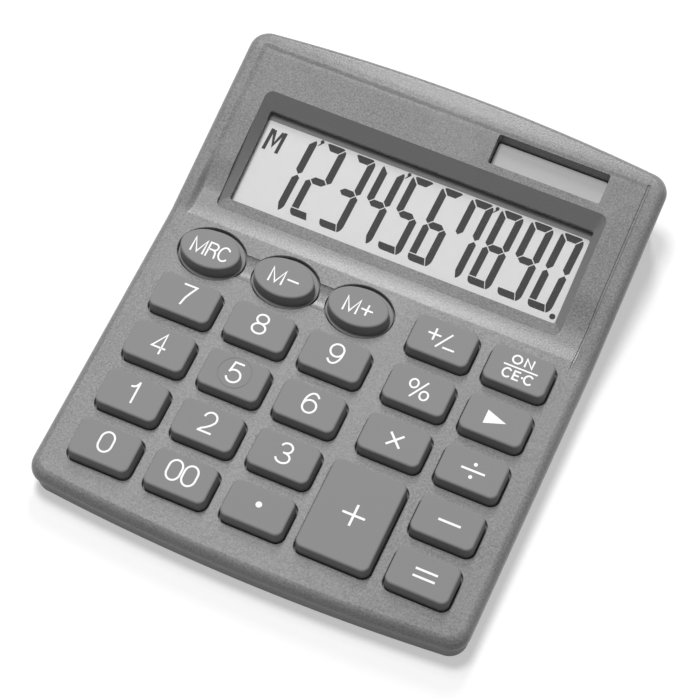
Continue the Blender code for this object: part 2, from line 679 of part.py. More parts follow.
def make_bottom_housing():
    lip = WALL + GAP
    inner = lip + TONGUE_WALL
    rings = (
        (inner + CASE_DRAFT, -FRONT_HEIGHT + FLOOR_THICKNESS),
        (inner, PART_LINE + TONGUE_HEIGHT),
        (lip, PART_LINE + TONGUE_HEIGHT),
        (lip, PART_LINE),
        (SHADOW_INSET, PART_LINE),
        (SHADOW_INSET + CASE_DRAFT, -FRONT_HEIGHT + CHAMFER),
        (SHADOW_INSET + CASE_DRAFT + CHAMFER, -FRONT_HEIGHT),
    )
    housing = tiers("bottom_housing", [at_height(casing_outline(i), z) for i, z in rings], DARK_SHELL)
    middle = (PART_LINE - FRONT_HEIGHT + FLOOR_THICKNESS) / 2
    lean = math.tan(TILT)
    bend(housing, lambda y, z: z + rim_height(y) if z > middle else z - (y + HALF_LENGTH) * lean)

    places = [case_screw_place(corner) for corner in CORNERS]
    tube_bottom = FOOT_STAND + FLOOR_THICKNESS / 2
    for corner, place in zip(CORNERS, places):
        tube_top = FACE_HEIGHT + place[1] * math.sin(TILT) - BOSS_FOOT_DROP - GAP
        name = f"screw_tube_{corner}"
        tube = cylinders(name, [place], CASE_TUBE_RADIUS, tube_bottom, tube_top, parent=None)
        combine(housing, tube, "UNION")
    bore = CASE_SCREW_RADIUS + GAP
    passages = cylinders("screw_passages", places, bore, -OVERRUN, FACE_HEIGHT, SMALL_STEPS, parent=None)
    combine(housing, passages)
    sink_top = FOOT_STAND + CASE_SCREW_SINK
    sinks = cylinders("screw_sinks", places, CASE_SCREW_HEAD + GAP, -OVERRUN, sink_top, parent=None)
    combine(housing, sinks)
    feet = [foot_place(corner) for corner in CORNERS]
    seats = cylinders("foot_seats", feet, FOOT_RADIUS + GAP, -OVERRUN, FOOT_HEIGHT + GAP, parent=None)
    combine(housing, seats)

    block = bay_outline(BAY_WALL)
    combine(housing, plates("bay_block", [block], FOOT_STAND + GAP, BAY_ROOF, parent=None), "UNION")
    combine(housing, plates("bay_mouth", [bay_outline(0)], -OVERRUN, LEDGE_UNDER, parent=None))
    hollow = plates("bay_hollow", [bay_outline(-BAY_LEDGE)], -OVERRUN, BAY_ROOF - BAY_WALL, parent=None)
    combine(housing, hollow)
    for side in (-1, 1):
        x = BAY_X + side * TAB_SPACING / 2
        half = TAB_WIDTH / 2 + GAP
        low = (x - half, BAY_FRONT - TAB_REACH - 2 * GAP, FOOT_STAND + TAB_LIP)
        high = (x + half, BAY_FRONT + BAY_LEDGE + GAP, FOOT_STAND + TAB_SWING)
        combine(housing, box(f"tab_slot_{side + 2}", low, high, parent=None))
    return housing


def foot_place(corner):
    side_x, side_y = CORNERS[corner]
    return (side_x * (HALF_WIDTH - FOOT_INSET_X), side_y * (HALF_LENGTH - FOOT_INSET_Y))


def bay_outline(growth):
    centre = (BAY_X, BAY_Y)
    radius = BAY_RADIUS + max(growth, 0)
    return rounded_rectangle(BAY_WIDTH + 2 * growth, BAY_LENGTH + 2 * growth, radius, centre)


BAY_FRONT = BAY_Y - BAY_LENGTH / 2
BAY_REAR = BAY_Y + BAY_LENGTH / 2
LEDGE_UNDER = FOOT_STAND + COVER_THICKNESS + GAP
BATTERY_BOTTOM = LEDGE_UNDER
CONTACT_BOTTOM = BATTERY_BOTTOM + BATTERY_HEIGHT + GAP
BAY_ROOF = CONTACT_BOTTOM + CONTACT_THICKNESS + GAP + BAY_WALL


def make_feet():
    profile = (
        (0, FOOT_HEIGHT),
        (FOOT_RADIUS, FOOT_HEIGHT),
        (FOOT_RADIUS, FOOT_EDGE),
        (FOOT_RADIUS - FOOT_EDGE, 0),
        (0, 0),
    )
    for corner in CORNERS:
        turned(f"foot_{corner}", profile, foot_place(corner), ROUND_STEPS, BLACK_RUBBER, parent=None)


def make_case_screws():
    seat = FOOT_STAND + CASE_SCREW_SINK - GAP
    for corner in CORNERS:
        place = case_screw_place(corner)
        tip = FACE_HEIGHT + place[1] * math.sin(TILT) - BOSS_FOOT_DROP + CASE_SCREW_BITE
        profile = (
            (0, tip),
            (CASE_SCREW_RADIUS / 3, tip),
            (CASE_SCREW_RADIUS, tip - CASE_SCREW_RADIUS),
            (CASE_SCREW_RADIUS, seat),
            (CASE_SCREW_HEAD, seat - CASE_SCREW_HEAD_DEPTH / 2),
            (CASE_SCREW_HEAD, seat - CASE_SCREW_HEAD_DEPTH),
            (0, seat - CASE_SCREW_HEAD_DEPTH),
        )
        turned(f"case_screw_{corner}", profile, place, SMALL_STEPS, PLATED_STEEL, parent=None)


# Keys

def key_rings(outline_at, plunger, wall, sides):
    """Rings from the plunger's foot, out over the flange and up to the top."""
    roof = KEY_STAND - KEY_ROOF
    rings = [at_height(plunger, PLUNGER_BOTTOM), at_height(plunger, roof)]
    rings.append(at_height(outline_at(-KEY_CLEARANCE - wall - KEY_DRAFT), roof))
    rings.append(at_height(outline_at(-KEY_CLEARANCE - wall), FLANGE_BOTTOM))
    rings.append(at_height(outline_at(KEY_FLANGE), FLANGE_BOTTOM))
    rings.append(at_height(outline_at(KEY_FLANGE), FLANGE_TOP))
    rings += [at_height(outline_at(-KEY_CLEARANCE - inset), z) for inset, z in sides]
    return rings


def make_small_keys():
    sides = ((0, FLANGE_TOP), (KEY_DRAFT, KEY_STAND - KEY_EDGE), (KEY_DRAFT + KEY_EDGE, KEY_STAND))
    for key, centre in key_centres().items():
        if key in MEMORY_KEYS:
            continue

        def outline_at(growth, key=key):
            return plus_outline(growth) if key == "key_plus" else hole_outline(key, growth)

        plunger = rounded_rectangle(2 * PLUNGER_RADIUS, 2 * PLUNGER_RADIUS, PLUNGER_RADIUS * 2 / 3, centre)
        made = tiers(key, key_rings(outline_at, plunger, KEY_WALL, sides), KEY_PLASTIC)
        set_origin(made, (*centre, 0))


def make_memory_keys():
    step = OVAL_STEP
    sides = (
        (0, FLANGE_TOP),
        (0, OVAL_STEP_STAND),
        (step, OVAL_STEP_STAND),
        (step + KEY_DRAFT, KEY_STAND - KEY_EDGE),
        (step + KEY_DRAFT + KEY_EDGE, KEY_STAND),
    )
    for key in MEMORY_KEYS:
        def outline_at(growth, key=key):
            return oval_outline(key, growth)

        plunger = ellipse(2 * PLUNGER_RADIUS, 2 * PLUNGER_RADIUS, oval_centre(key))
        rings = key_rings(outline_at, plunger, KEY_WALL + step, sides)
        set_origin(tiers(key, rings, KEY_PLASTIC), (*oval_centre(key), 0))


def make_key_sheet():
    centres = key_centres()
    half_x = max(abs(x) for x, _ in centres.values()) + SHEET_MARGIN
    front = row_y(0) - SHEET_MARGIN
    rear = oval_centre("key_memory_recall")[1] + SHEET_MARGIN
    outline = rounded_rectangle(2 * half_x, rear - front, SHEET_MARGIN / 2, (0, (front + rear) / 2))
    sheet = plates("key_sheet", [outline], SHEET_BOTTOM, SHEET_TOP, SILICONE)
    spots = list(centres.values())
    base = (SHEET_BOTTOM + SHEET_TOP) / 2
    skins = cones("dome_skins", spots, DOME_RADIUS, DOME_TOP_RADIUS, base, DOME_TOP, DOME_STEPS)
    combine(sheet, skins, "UNION")
    low_radius = DOME_RADIUS - DOME_SKIN
    high_radius = DOME_TOP_RADIUS - DOME_SKIN
    base = SHEET_BOTTOM - GAP
    roof = DOME_TOP - DOME_SKIN
    combine(sheet, cones("dome_hollows", spots, low_radius, high_radius, base, roof, DOME_STEPS))
    bosses = board_boss_places()
    radius = BOARD_BOSS_RADIUS + GAP
    low, high = SHEET_BOTTOM - OVERRUN, SHEET_TOP + OVERRUN
    holes = cylinders("sheet_holes", bosses, radius, low, high, SMALL_STEPS)
    combine(sheet, holes)


# Circuit board

def make_circuit_board():
    outline = [
        (-BOARD_HALF_WIDTH, BOARD_FRONT_Y),
        (BOARD_HALF_WIDTH, BOARD_FRONT_Y),
        (BOARD_HALF_WIDTH, BOARD_SHOULDER_Y),
        (BOARD_TONGUE_HALF_WIDTH, BOARD_SHOULDER_Y),
        (BOARD_TONGUE_HALF_WIDTH, BOARD_REAR_Y),
        (-BOARD_TONGUE_HALF_WIDTH, BOARD_REAR_Y),
        (-BOARD_TONGUE_HALF_WIDTH, BOARD_SHOULDER_Y),
        (-BOARD_HALF_WIDTH, BOARD_SHOULDER_Y),
    ]
    board = plates("circuit_board", [outline], BOARD_BOTTOM, BOARD_TOP, BOARD_RESIN)
    bosses = board_boss_places()
    radius = BOARD_SCREW_RADIUS + GAP
    low, high = BOARD_BOTTOM - OVERRUN, BOARD_TOP + OVERRUN
    holes = cylinders("board_holes", bosses, radius, low, high, SMALL_STEPS)
    combine(board, holes)


def make_board_screws():
    seat = BOARD_BOTTOM - GAP
    for number, place in enumerate(board_boss_places(), start=1):
        tip = BOARD_TOP + GAP + BOARD_SCREW_BITE
        profile = (
            (0, tip),
            (BOARD_SCREW_RADIUS / 3, tip),
            (BOARD_SCREW_RADIUS, tip - BOARD_SCREW_RADIUS),
            (BOARD_SCREW_RADIUS, seat),
            (BOARD_SCREW_HEAD, seat),
            (BOARD_SCREW_HEAD, seat - BOARD_SCREW_HEAD_DEPTH),
            (0, seat - BOARD_SCREW_HEAD_DEPTH),
        )
        turned(f"board_screw_{number}", profile, place, SMALL_STEPS, PLATED_STEEL)


def make_board_components():
    top = BOARD_BOTTOM - GAP
    shares = ((0, 0), (1, 0), (0.93, 0.45), (0.7, 0.8), (0.35, 1), (0, 1))
    profile = [(CHIP_RADIUS * wide, top - CHIP_HEIGHT * deep) for wide, deep in shares]
    turned("chip", profile, (CHIP_X, CHIP_Y), ROUND_STEPS, BLACK_EPOXY)
    centre = (CAPACITOR_Y, top - CAPACITOR_RADIUS)
    section = ellipse(2 * CAPACITOR_RADIUS, 2 * CAPACITOR_RADIUS, centre, SMALL_STEPS)
    capacitor = bar("capacitor", section, CAPACITOR_LENGTH / 2, CAPACITOR_SLEEVE)
    capacitor.location.x = CAPACITOR_X


# Display and solar cell

def make_display():
    lens = window_outline(LENS_MARGIN, LENS_MARGIN, LENS_MARGIN, LENS_MARGIN)
    lens_rings = [on_display(lens, LENS_TOP - LENS_THICKNESS), on_display(lens, LENS_TOP)]
    tiers("display_lens", lens_rings, CLEAR_PLASTIC)
    glass = window_outline(GLASS_MARGIN, GLASS_MARGIN, GLASS_MARGIN, WINDOW_RADIUS)
    glass_rings = [on_display(glass, GLASS_BOTTOM), on_display(glass, GLASS_TOP)]
    tiers("display_glass", glass_rings, DISPLAY_GLASS)

    rear_y = WINDOW_REAR_Y + GLASS_MARGIN
    start_z = rim_height(rear_y) - FRAME_DROP + GLASS_BOTTOM / SLANT - GAP - RIBBON_THICKNESS
    end_z = BOARD_TOP + GAP + RIBBON_THICKNESS
    path = [(rear_y - RIBBON_FOOT, start_z - RIBBON_FOOT * RISE)]
    for k in range(RIBBON_STEPS + 1):
        share = k / RIBBON_STEPS
        y = rear_y + (BOARD_REAR_Y - rear_y) * share + math.sin(math.pi * share) * RIBBON_FOOT / 2
        path.append((y, start_z + (end_z - start_z) * ease(share)))
    path.append((BOARD_REAR_Y - RIBBON_FOOT, end_z))
    bm = bmesh.new()
    points = [bm.verts.new((-RIBBON_WIDTH / 2, y, z)) for y, z in path]
    edges = [bm.edges.new(pair) for pair in zip(points, points[1:])]
    grown = bmesh.ops.extrude_edge_only(bm, edges=edges)["geom"]
    far = [item for item in grown if isinstance(item, bmesh.types.BMVert)]
    bmesh.ops.translate(bm, verts=far, vec=(RIBBON_WIDTH, 0, 0))
    ribbon = finish(bm, "display_ribbon", RIBBON_FILM, case_frame)
    film = ribbon.modifiers.new("film", "SOLIDIFY")
    film.thickness = RIBBON_THICKNESS
    film.offset = 0


def make_solar_cell():
    """The lens lies in the recess from above, and the cell hangs under the recess's floor."""
    top = (FRAME_DROP - PANEL_DROP - SOLAR_DEPTH) * SLANT
    lens = solar_outline(-GAP)
    tiers("solar_lens", [on_display(lens, top - LENS_THICKNESS), on_display(lens, top)], CLEAR_PLASTIC)
    top = (FRAME_DROP + SOLAR_FLOOR - SOLAR_LIP) * SLANT - GAP
    cell = solar_outline(CELL_MARGIN)
    tiers("solar_cell", [on_display(cell, top - CELL_THICKNESS), on_display(cell, top)], SOLAR_FILM)
    return top - CELL_THICKNESS


# Battery bay

def make_battery():
    bottom = BATTERY_BOTTOM + GAP / 2
    shoulder = bottom + BATTERY_HEIGHT - BATTERY_RIM
    button = BATTERY_RADIUS - BATTERY_RIM
    profile = (
        (0, shoulder + BATTERY_RIM / 2),
        (button, shoulder + BATTERY_RIM / 2),
        (button, shoulder),
        (BATTERY_RADIUS, shoulder),
        (BATTERY_RADIUS, bottom + BATTERY_RIM / 2),
        (button, bottom),
        (0, bottom),
    )
    turned("battery", profile, (BAY_X, BAY_Y), ROUND_STEPS, PLATED_STEEL, parent=None)

    half = CONTACT_WIDTH / 2
    low = (BAY_X - CONTACT_REACH, BAY_Y - half, CONTACT_BOTTOM)
    high = (BAY_X + CONTACT_REACH / 2, BAY_Y + half, CONTACT_BOTTOM + CONTACT_THICKNESS)
    box("battery_contact_negative", low, high, PLATED_STEEL, parent=None)
    side_x = BAY_X + BATTERY_RADIUS + GAP
    low = (side_x, BAY_Y - half, BATTERY_BOTTOM + GAP)
    high = (side_x + CONTACT_THICKNESS, BAY_Y + half, CONTACT_BOTTOM)
    box("battery_contact_positive", low, high, PLATED_STEEL, parent=None)


def make_battery_cover():
    top = FOOT_STAND + COVER_THICKNESS
    cover = plates("battery_cover", [bay_outline(-GAP)], FOOT_STAND, top, DARK_SHELL, parent=None)
    tab_bottom = FOOT_STAND + TAB_LIP + GAP
    tab_top = tab_bottom + TAB_THICKNESS
    for side in (-1, 1):
        x = BAY_X + side * TAB_SPACING / 2
        low = (x - TAB_WIDTH / 2, BAY_FRONT - TAB_REACH, tab_bottom)
        high = (x + TAB_WIDTH / 2, BAY_FRONT + BAY_LEDGE, tab_top)
        combine(cover, box(f"cover_tab_{side + 2}", low, high, parent=None), "UNION")
    for k in range(GRIP_COUNT):
        y = BAY_REAR - (k + 2) * GRIP_PITCH
        low = (BAY_X - GRIP_LENGTH / 2, y - GRIP_WIDTH / 2, FOOT_STAND - OVERRUN)
        high = (BAY_X + GRIP_LENGTH / 2, y + GRIP_WIDTH / 2, FOOT_STAND + GRIP_DEPTH)
        combine(cover, box(f"grip_groove_{k + 1}", low, high, parent=None))
    set_origin(cover, (BAY_X, BAY_FRONT, FOOT_STAND))


def make_lead(name, points, shade):
    """A short insulated wire through the given points."""
    data = bpy.data.curves.new(name, "CURVE")
    data.dimensions = "3D"
    data.bevel_depth = LEAD_RADIUS
    data.bevel_resolution = 1
    data.resolution_u = 3
    data.use_fill_caps = True
    spline = data.splines.new("BEZIER")
    spline.bezier_points.add(len(points) - 1)
    for knot, place in zip(spline.bezier_points, points):
        knot.co = place
        knot.handle_left_type = "AUTO"
        knot.handle_right_type = "AUTO"
    data.materials.append(shade)
    made = bpy.data.objects.new(name, data)
    made.parent = case_frame
    parts.objects.link(made)


def make_leads(cell_under):
    """Two wires from the solar cell and two from the battery bay, down to the board."""
    board_z = BOARD_TOP + GAP + LEAD_RADIUS
    board_y = BOARD_REAR_Y - RIBBON_FOOT / 2
    cell_z = rim_height(SOLAR_Y) - FRAME_DROP + cell_under / SLANT - GAP - LEAD_RADIUS
    bay_z = BAY_ROOF - FACE_HEIGHT - BAY_Y * math.sin(TILT) + GAP + LEAD_RADIUS
    for side, label, shade in ((-1, "black", BLACK_SLEEVE), (1, "red", RED_SLEEVE)):
        x = SOLAR_X + side * LEAD_SPREAD / 2
        board_x = BOARD_TONGUE_HALF_WIDTH - LEAD_SPREAD + side * LEAD_SPREAD / 2
        middle_x = (x + board_x) / 2
        points = [
            (x, SOLAR_Y, cell_z),
            (x, SOLAR_Y, cell_z - LEAD_DROP),
            (middle_x, (SOLAR_Y + BOARD_REAR_Y) / 2, board_z + LEAD_LIFT / 2),
            (board_x, board_y, board_z + LEAD_LIFT),
            (board_x, board_y - LEAD_DROP / 2, board_z),
        ]
        make_lead(f"solar_lead_{label}", points, shade)
        x = BAY_X - LEAD_SHIFT + side * LEAD_SPREAD / 2
        board_x = -BOARD_TONGUE_HALF_WIDTH + LEAD_SPREAD + side * LEAD_SPREAD / 2
        points = [
            (x, BAY_Y, bay_z),
            (x, BAY_Y - LEAD_DROP, bay_z + LEAD_LIFT / 3),
            ((x + board_x) / 2, BAY_FRONT - BAY_WALL, bay_z + LEAD_LIFT / 2),
            (board_x, board_y, board_z + LEAD_LIFT),
            (board_x, board_y - LEAD_DROP / 2, board_z),
        ]
        make_lead(f"battery_lead_{label}", points, shade)


make_top_housing()
make_bottom_housing()
make_feet()
make_case_screws()
make_small_keys()
make_memory_keys()
make_key_sheet()
make_circuit_board()
make_board_screws()
make_board_components()
make_display()
cell_under = make_solar_cell()
make_battery()
make_battery_cover()
make_leads(cell_under)
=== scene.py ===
"""Dresses the desktop calculator: painted casing, printed keys, display and studio."""
from math import cos, dist, pi, radians, sin, tan

import bmesh
import bpy
from bpy.props import FloatProperty, FloatVectorProperty, PointerProperty
from mathutils import Matrix, Vector


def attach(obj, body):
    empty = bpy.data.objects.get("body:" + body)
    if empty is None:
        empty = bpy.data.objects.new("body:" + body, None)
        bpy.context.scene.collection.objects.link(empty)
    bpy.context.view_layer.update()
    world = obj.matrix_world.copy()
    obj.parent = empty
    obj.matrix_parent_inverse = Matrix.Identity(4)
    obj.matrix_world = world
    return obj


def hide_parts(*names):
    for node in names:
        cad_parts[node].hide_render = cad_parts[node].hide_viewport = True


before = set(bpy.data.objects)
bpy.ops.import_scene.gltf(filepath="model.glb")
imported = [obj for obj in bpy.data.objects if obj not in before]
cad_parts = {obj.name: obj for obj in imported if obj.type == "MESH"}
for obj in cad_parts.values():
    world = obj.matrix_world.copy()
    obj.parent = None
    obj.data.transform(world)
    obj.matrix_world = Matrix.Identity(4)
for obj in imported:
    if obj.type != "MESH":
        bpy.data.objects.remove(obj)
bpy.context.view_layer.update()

bl_info = {
    "name": "Desktop calculator",
    "version": (1, 0, 0),
    "blender": (4, 5, 0),
    "location": "3D View > Sidebar > Calculator",
    "description": "Builds the visible pieces of a desktop calculator on its fixed frame",
    "category": "Add Mesh",
}

MM = 0.001
OVERRUN = 2 * MM

# Lengths along the side profile: the rounding of its turns, the dip behind the keypad and the sweep up
TURN_EASE = 2 * MM
DIP_RUN = 4.3 * MM
SWEEP_RUN = 10 * MM

# Holes in the casing: width and length, and where the light cell's and the battery's are centred
OVAL_HOLE = (16.6 * MM, 13.4 * MM)
LIGHT_CELL_HOLE, LIGHT_CELL_CENTRE = (27.6 * MM, 7.4 * MM), (25.35 * MM, 52.35 * MM)
BATTERY_BAY, BATTERY_BAY_CENTRE = (19 * MM, 16.5 * MM), (-18 * MM, 49.75 * MM)

# The camera's place, and its turns about X, Y and Z in degrees
CAMERA_PLACE = (0.114806, -0.258463, 0.517546)
CAMERA_TURNS = (28.6985, 0.005, 24.1855)

# The small keys of each row from the front, with their columns from the left
KEY_ROWS = {
    3: {"7": 0, "8": 1, "9": 2, "percent": 3, "backspace": 4},
    2: {"4": 0, "5": 1, "6": 2, "times": 3, "divide": 4},
    1: {"1": 0, "2": 1, "3": 2, "minus": 4},
    0: {"0": 0, "00": 1, "point": 2, "equals": 4},
    4: {"sign": 3, "on_clear": 4},
}
SMALL_KEYS = {f"key_{name}": (column, row) for row, keys in KEY_ROWS.items() for name, column in keys.items()}
MEMORY_KEYS = {"key_memory_recall": 0, "key_memory_minus": 1, "key_memory_plus": 2}
ALL_KEYS = list(SMALL_KEYS) + ["key_plus"] + list(MEMORY_KEYS)
CORNERS = {"front_left": (-1, -1), "front_right": (1, -1), "rear_left": (-1, 1), "rear_right": (1, 1)}

# Legends on the key tops, in millimetres: glyph, middle x, middle y, width, height, stroke
DIGIT_SIZE = (3.6, 5.42, 0.46)
LEGENDS = {
    "key_times": [("times", 20.02, -23.35, 3.7, 3.7, 0.52)],
    "key_divide": [
        ("minus", 38.51, -23.25, 5.6, 0.5, 0.52),
        ("dot", 38.51, -21.65, 0.9, 0.9, 0),
        ("dot", 38.51, -24.85, 0.9, 0.9, 0),
    ],
    "key_minus": [("minus", 38.71, -36.73, 5.3, 0.5, 0.55)],
    "key_plus": [("plus", 19.10, -43.47, 5.4, 5.4, 0.55)],
    "key_equals": [("minus", 38.77, -49.19, 5.2, 0.5, 0.52), ("minus", 38.77, -50.93, 5.2, 0.5, 0.52)],
    "key_percent": [("percent", 19.87, -9.82, 5.2, 4.8, 0.42)],
    "key_backspace": [("arrow", 38.3, -9.87, 4.9, 3.5, 0)],
    "key_point": [("dot", -0.71, -49.48, 1.45, 1.45, 0)],
    "key_sign": [
        ("plus", 17.57, 4.43, 3.3, 3.3, 0.45),
        ("slash", 20.12, 3.66, 3.1, 4.7, 0.42),
        ("minus", 21.81, 1.98, 3.0, 0.5, 0.45),
    ],
    "key_on_clear": [
        ("O", 36.95, 5.96, 2.5, 2.45, 0.42),
        ("N", 39.85, 5.96, 2.1, 2.45, 0.42),
        ("minus", 38.5, 4.02, 7.76, 0.4, 0.38),
        ("C", 35.95, 2.08, 2.3, 2.65, 0.42),
        ("E", 38.25, 2.08, 1.75, 2.5, 0.42),
        ("dot", 39.6, 2.08, 0.55, 0.55, 0),
        ("C", 41.1, 2.08, 2.3, 2.65, 0.42),
    ],
    "key_memory_recall": [
        ("M", -40.65, 3.76, 3.4, 3.98, 0.44),
        ("R", -37.3, 3.76, 2.55, 3.98, 0.4),
        ("C", -34.45, 3.76, 2.8, 4.0, 0.4),
    ],
    "key_memory_minus": [("M", -21.0, 3.75, 3.55, 3.98, 0.44), ("minus", -17.1, 3.75, 3.0, 0.42, 0.42)],
    "key_memory_plus": [("M", -2.5, 3.75, 3.55, 3.98, 0.44), ("plus", 1.25, 3.75, 3.0, 3.0, 0.42)],
}

# Segments that are dark in each place of the display, from the left
SHOWN_DIGITS = ("bc", "abged", "abgcd", "fgbc", "afgcd", "afgedc", "fabc", "abcdefg", "abfgcd", "abcdef")


def length(name, description, millimetres):
    return FloatProperty(
        name=name, description=description, default=millimetres * MM, subtype="DISTANCE", unit="LENGTH"
    )


def angle(name, description, degrees):
    return FloatProperty(
        name=name, description=description, default=radians(degrees), subtype="ANGLE", unit="ROTATION"
    )


def grey(shade):
    return shade, shade, shade


def colour(name, description, shade):
    return FloatVectorProperty(
        name=name, description=description, default=grey(shade), size=3, min=0, max=1, subtype="COLOR"
    )


def power(name, description, watts):
    return FloatProperty(name=name, description=description, default=watts, unit="POWER")


def factor(name, description, default):
    return FloatProperty(name=name, description=description, default=default, min=0, max=1, subtype="FACTOR")


class CasingSettings(bpy.types.PropertyGroup):
    width: length("Width", "Width of the casing at its skirt", 105)
    depth: length("Length", "Length of the casing from front to rear", 127.5)
    front_bow: length("Front bow", "How far the front end bows out", 2.6)
    rear_bow: length("Rear bow", "How far the rear end bows out", 3.1)
    corner: length("Corner radius", "Radius of the casing's corners from above", 4.6)
    face_height: length("Face height", "Height of the keypad face over the desk at the middle", 10.961)
    desk_tilt: angle("Keypad tilt", "Slope of the keypad face", 1)
    display_tilt: angle("Display tilt", "Extra slope of the display end", 11.3)
    front_height: length("Front height", "Depth of the casing below the face at the front", 9.25)
    skirt: length("Skirt", "How far the top half comes down", 3.3)
    roll: length("Edge roll", "Width of the rolled edge from above", 2.1)
    kink: length("Kink", "Where the side rims start to rise", 12.2)
    crest: length("Crest", "Where the side rims stop rising", 56.9)
    wall: length("Wall", "Wall of the top half", 1.6)
    gap: length("Gap", "Gap between neighbouring pieces", 0.3)
    stand: length("Foot stand", "Height of the casing over the desk", 0.6)
    panel_half: length("Panel half width", "Half the width of the sunk panel", 48.3)
    panel_drop: length("Panel drop", "How far the panel lies below the rims beside the window", 0.5)
    panel_rear_drop: length("Panel rear drop", "How far the panel lies below the rims at the crest", 0.24)
    frame_drop: length("Frame drop", "How far the window frame lies below the rims", 2.92)
    window_width: length("Window width", "Width of the display window", 81.5)
    window_shift: length("Window shift", "How far the window sits off the middle", -0.4)
    window_front: length("Window front", "Front edge of the display window", 20.1)
    window_rear: length("Window rear", "Rear edge of the display window", 43.55)
    window_slope: length("Window slope", "Run of the window's side walls", 2.1)
    window_rear_slope: length("Window rear slope", "Run of the window's rear wall", 3.15)
    dip: length("Dip", "Depth of the dip in front of the window", 0.38)
    strip: length("Strip", "Width of the flat strip in front of the window", 3.5)
    sweep: length("Sweep", "Where the panel starts to rise beside the window", 18.25)


class KeySettings(bpy.types.PropertyGroup):
    column_pitch: length("Column pitch", "Spacing of the key columns", 18.5)
    block_gap: length("Block gap", "Extra space before the operator columns", 2)
    offset_x: length("Keypad offset", "How far the keypad sits off the middle", 0.24)
    row_pitch: length("Row pitch", "Spacing of the key rows", 13.45)
    first_row: length("Front row", "Middle of the front row of keys", -50.05)
    hole_width: length("Hole width", "Width of a small key's hole", 15.9)
    hole_length: length("Hole length", "Length of a small key's hole", 10.6)
    hole_radius: length("Hole radius", "Corner radius of a small key's hole", 2.3)
    clearance: length("Clearance", "Gap between a key and its hole", 0.35)
    stand: length("Stand", "Height of the keys over the face", 3.2)
    edge: length("Edge radius", "Rounding of a key's top edge", 0.55)
    draft: length("Draft", "How far a key's sides lean in", 0.22)
    oval_step: length("Oval step", "Width of the step round an oval key", 0.5)
    oval_stand: length("Oval step height", "Height of that step over the face", -0.7)


class DisplaySettings(bpy.types.PropertyGroup):
    glass_depth: length("Glass depth", "Depth of the display glass below the window frame", 2.2)
    digit_height: length("Digit height", "Height of the display's digits", 19.6)
    digit_width: length("Digit width", "Width of the display's digits", 5.85)
    digit_pitch: length("Digit pitch", "Spacing of the display's digits", 7.461)
    first_digit: length("First digit", "Lower right corner of the first digit", -29.08)
    base: length("Base line", "Foot of the digits above the window's front edge", 2.8)
    segment: length("Segment", "Width of a segment", 1.72)
    lean: length("Lean", "How far the digits lean over their height", 1.09)


class FinishSettings(bpy.types.PropertyGroup):
    paint: colour("Paint", "Matt paint of the top half", 0.2)
    # The window's walls are the same paint as the rest; this darker tone is painted shade for the deep
    # window.
    recess: colour("Recess", "Darker paint on the walls of the window", 0.165)
    shell: colour("Lower shell", "Plastic of the bottom half", 0.2)
    keys: colour("Keys", "Plastic of the keys", 0.225)
    ink: colour("Ink", "Printed legends", 0.9)
    glass: colour("Display", "Background of the display", 0.64)
    segments: colour("Segments", "Dark segments of the display", 0.016)
    cell: colour("Light cell", "Face of the light cell", 0.42)


class StageSettings(bpy.types.PropertyGroup):
    lens: FloatProperty(name="Lens", description="Focal length of the camera", default=132.25, unit="CAMERA")
    main_power: power("Main light", "Power of the overhead light", 8.5)
    rear_power: power("Rear light", "Power of the light behind", 4.2)
    accent_power: power("Accent", "Power of the small light", 1.0)
    paper_share: factor("Paper share", "Share of the floor that stays white in shadow", 0.45)
    bounce: factor("Bounce", "How much light the floor throws back at the calculator", 0.28)
    fill: factor("Fill", "Strength of the surrounding light", 0.18)


SETTINGS = {
    "calculator_casing": CasingSettings,
    "calculator_keys": KeySettings,
    "calculator_display": DisplaySettings,
    "calculator_finishes": FinishSettings,
    "calculator_stage": StageSettings,
}


def casing():
    return bpy.context.scene.calculator_casing


def keypad():
    return bpy.context.scene.calculator_keys


def display():
    return bpy.context.scene.calculator_display


# Outlines from above

def rounded_rectangle(width, depth, radius, centre, steps=8):
    points = []
    for side_x, side_y, start in ((1, -1, -90), (1, 1, 0), (-1, 1, 90), (-1, -1, 180)):
        for k in range(steps + 1):
            turn = radians(start + 90 * k / steps)
            x = centre[0] + side_x * (width / 2 - radius) + radius * cos(turn)
            y = centre[1] + side_y * (depth / 2 - radius) + radius * sin(turn)
            points.append((x, y))
    return points


def oval(width, depth, centre, steps=72):
    turns = [2 * pi * k / steps for k in range(steps)]
    return [(centre[0] + width / 2 * cos(t), centre[1] + depth / 2 * sin(t)) for t in turns]


def casing_outline(inset, bow_steps=24, corner_steps=10):
    """Bowed ends and round corners."""
    c = casing()
    half_width, half_length = c.width / 2, c.depth / 2
    radius = c.corner - inset / 2
    reach = half_width - inset - radius
    bows = {-1: c.front_bow, 1: c.rear_bow}
    turn_y = {}
    for end, bow in bows.items():
        turn_y[end] = end * (half_length - inset - radius - bow * (reach / half_width) ** 2)
    outline = []
    for end, bow in bows.items():
        for k in range(bow_steps + 1):
            x = end * reach * (1 - 2 * k / bow_steps)
            outline.append((x, end * (half_length - inset - bow * (x / half_width) ** 2)))
        turns = [radians(90 * k / corner_steps) for k in range(corner_steps + 1)]
        for t in turns[1:]:
            outline.append((-end * (reach + radius * sin(t)), turn_y[end] + end * radius * cos(t)))
        for t in turns[:-1]:
            outline.append((-end * (reach + radius * cos(t)), turn_y[-end] - end * radius * sin(t)))
    return outline


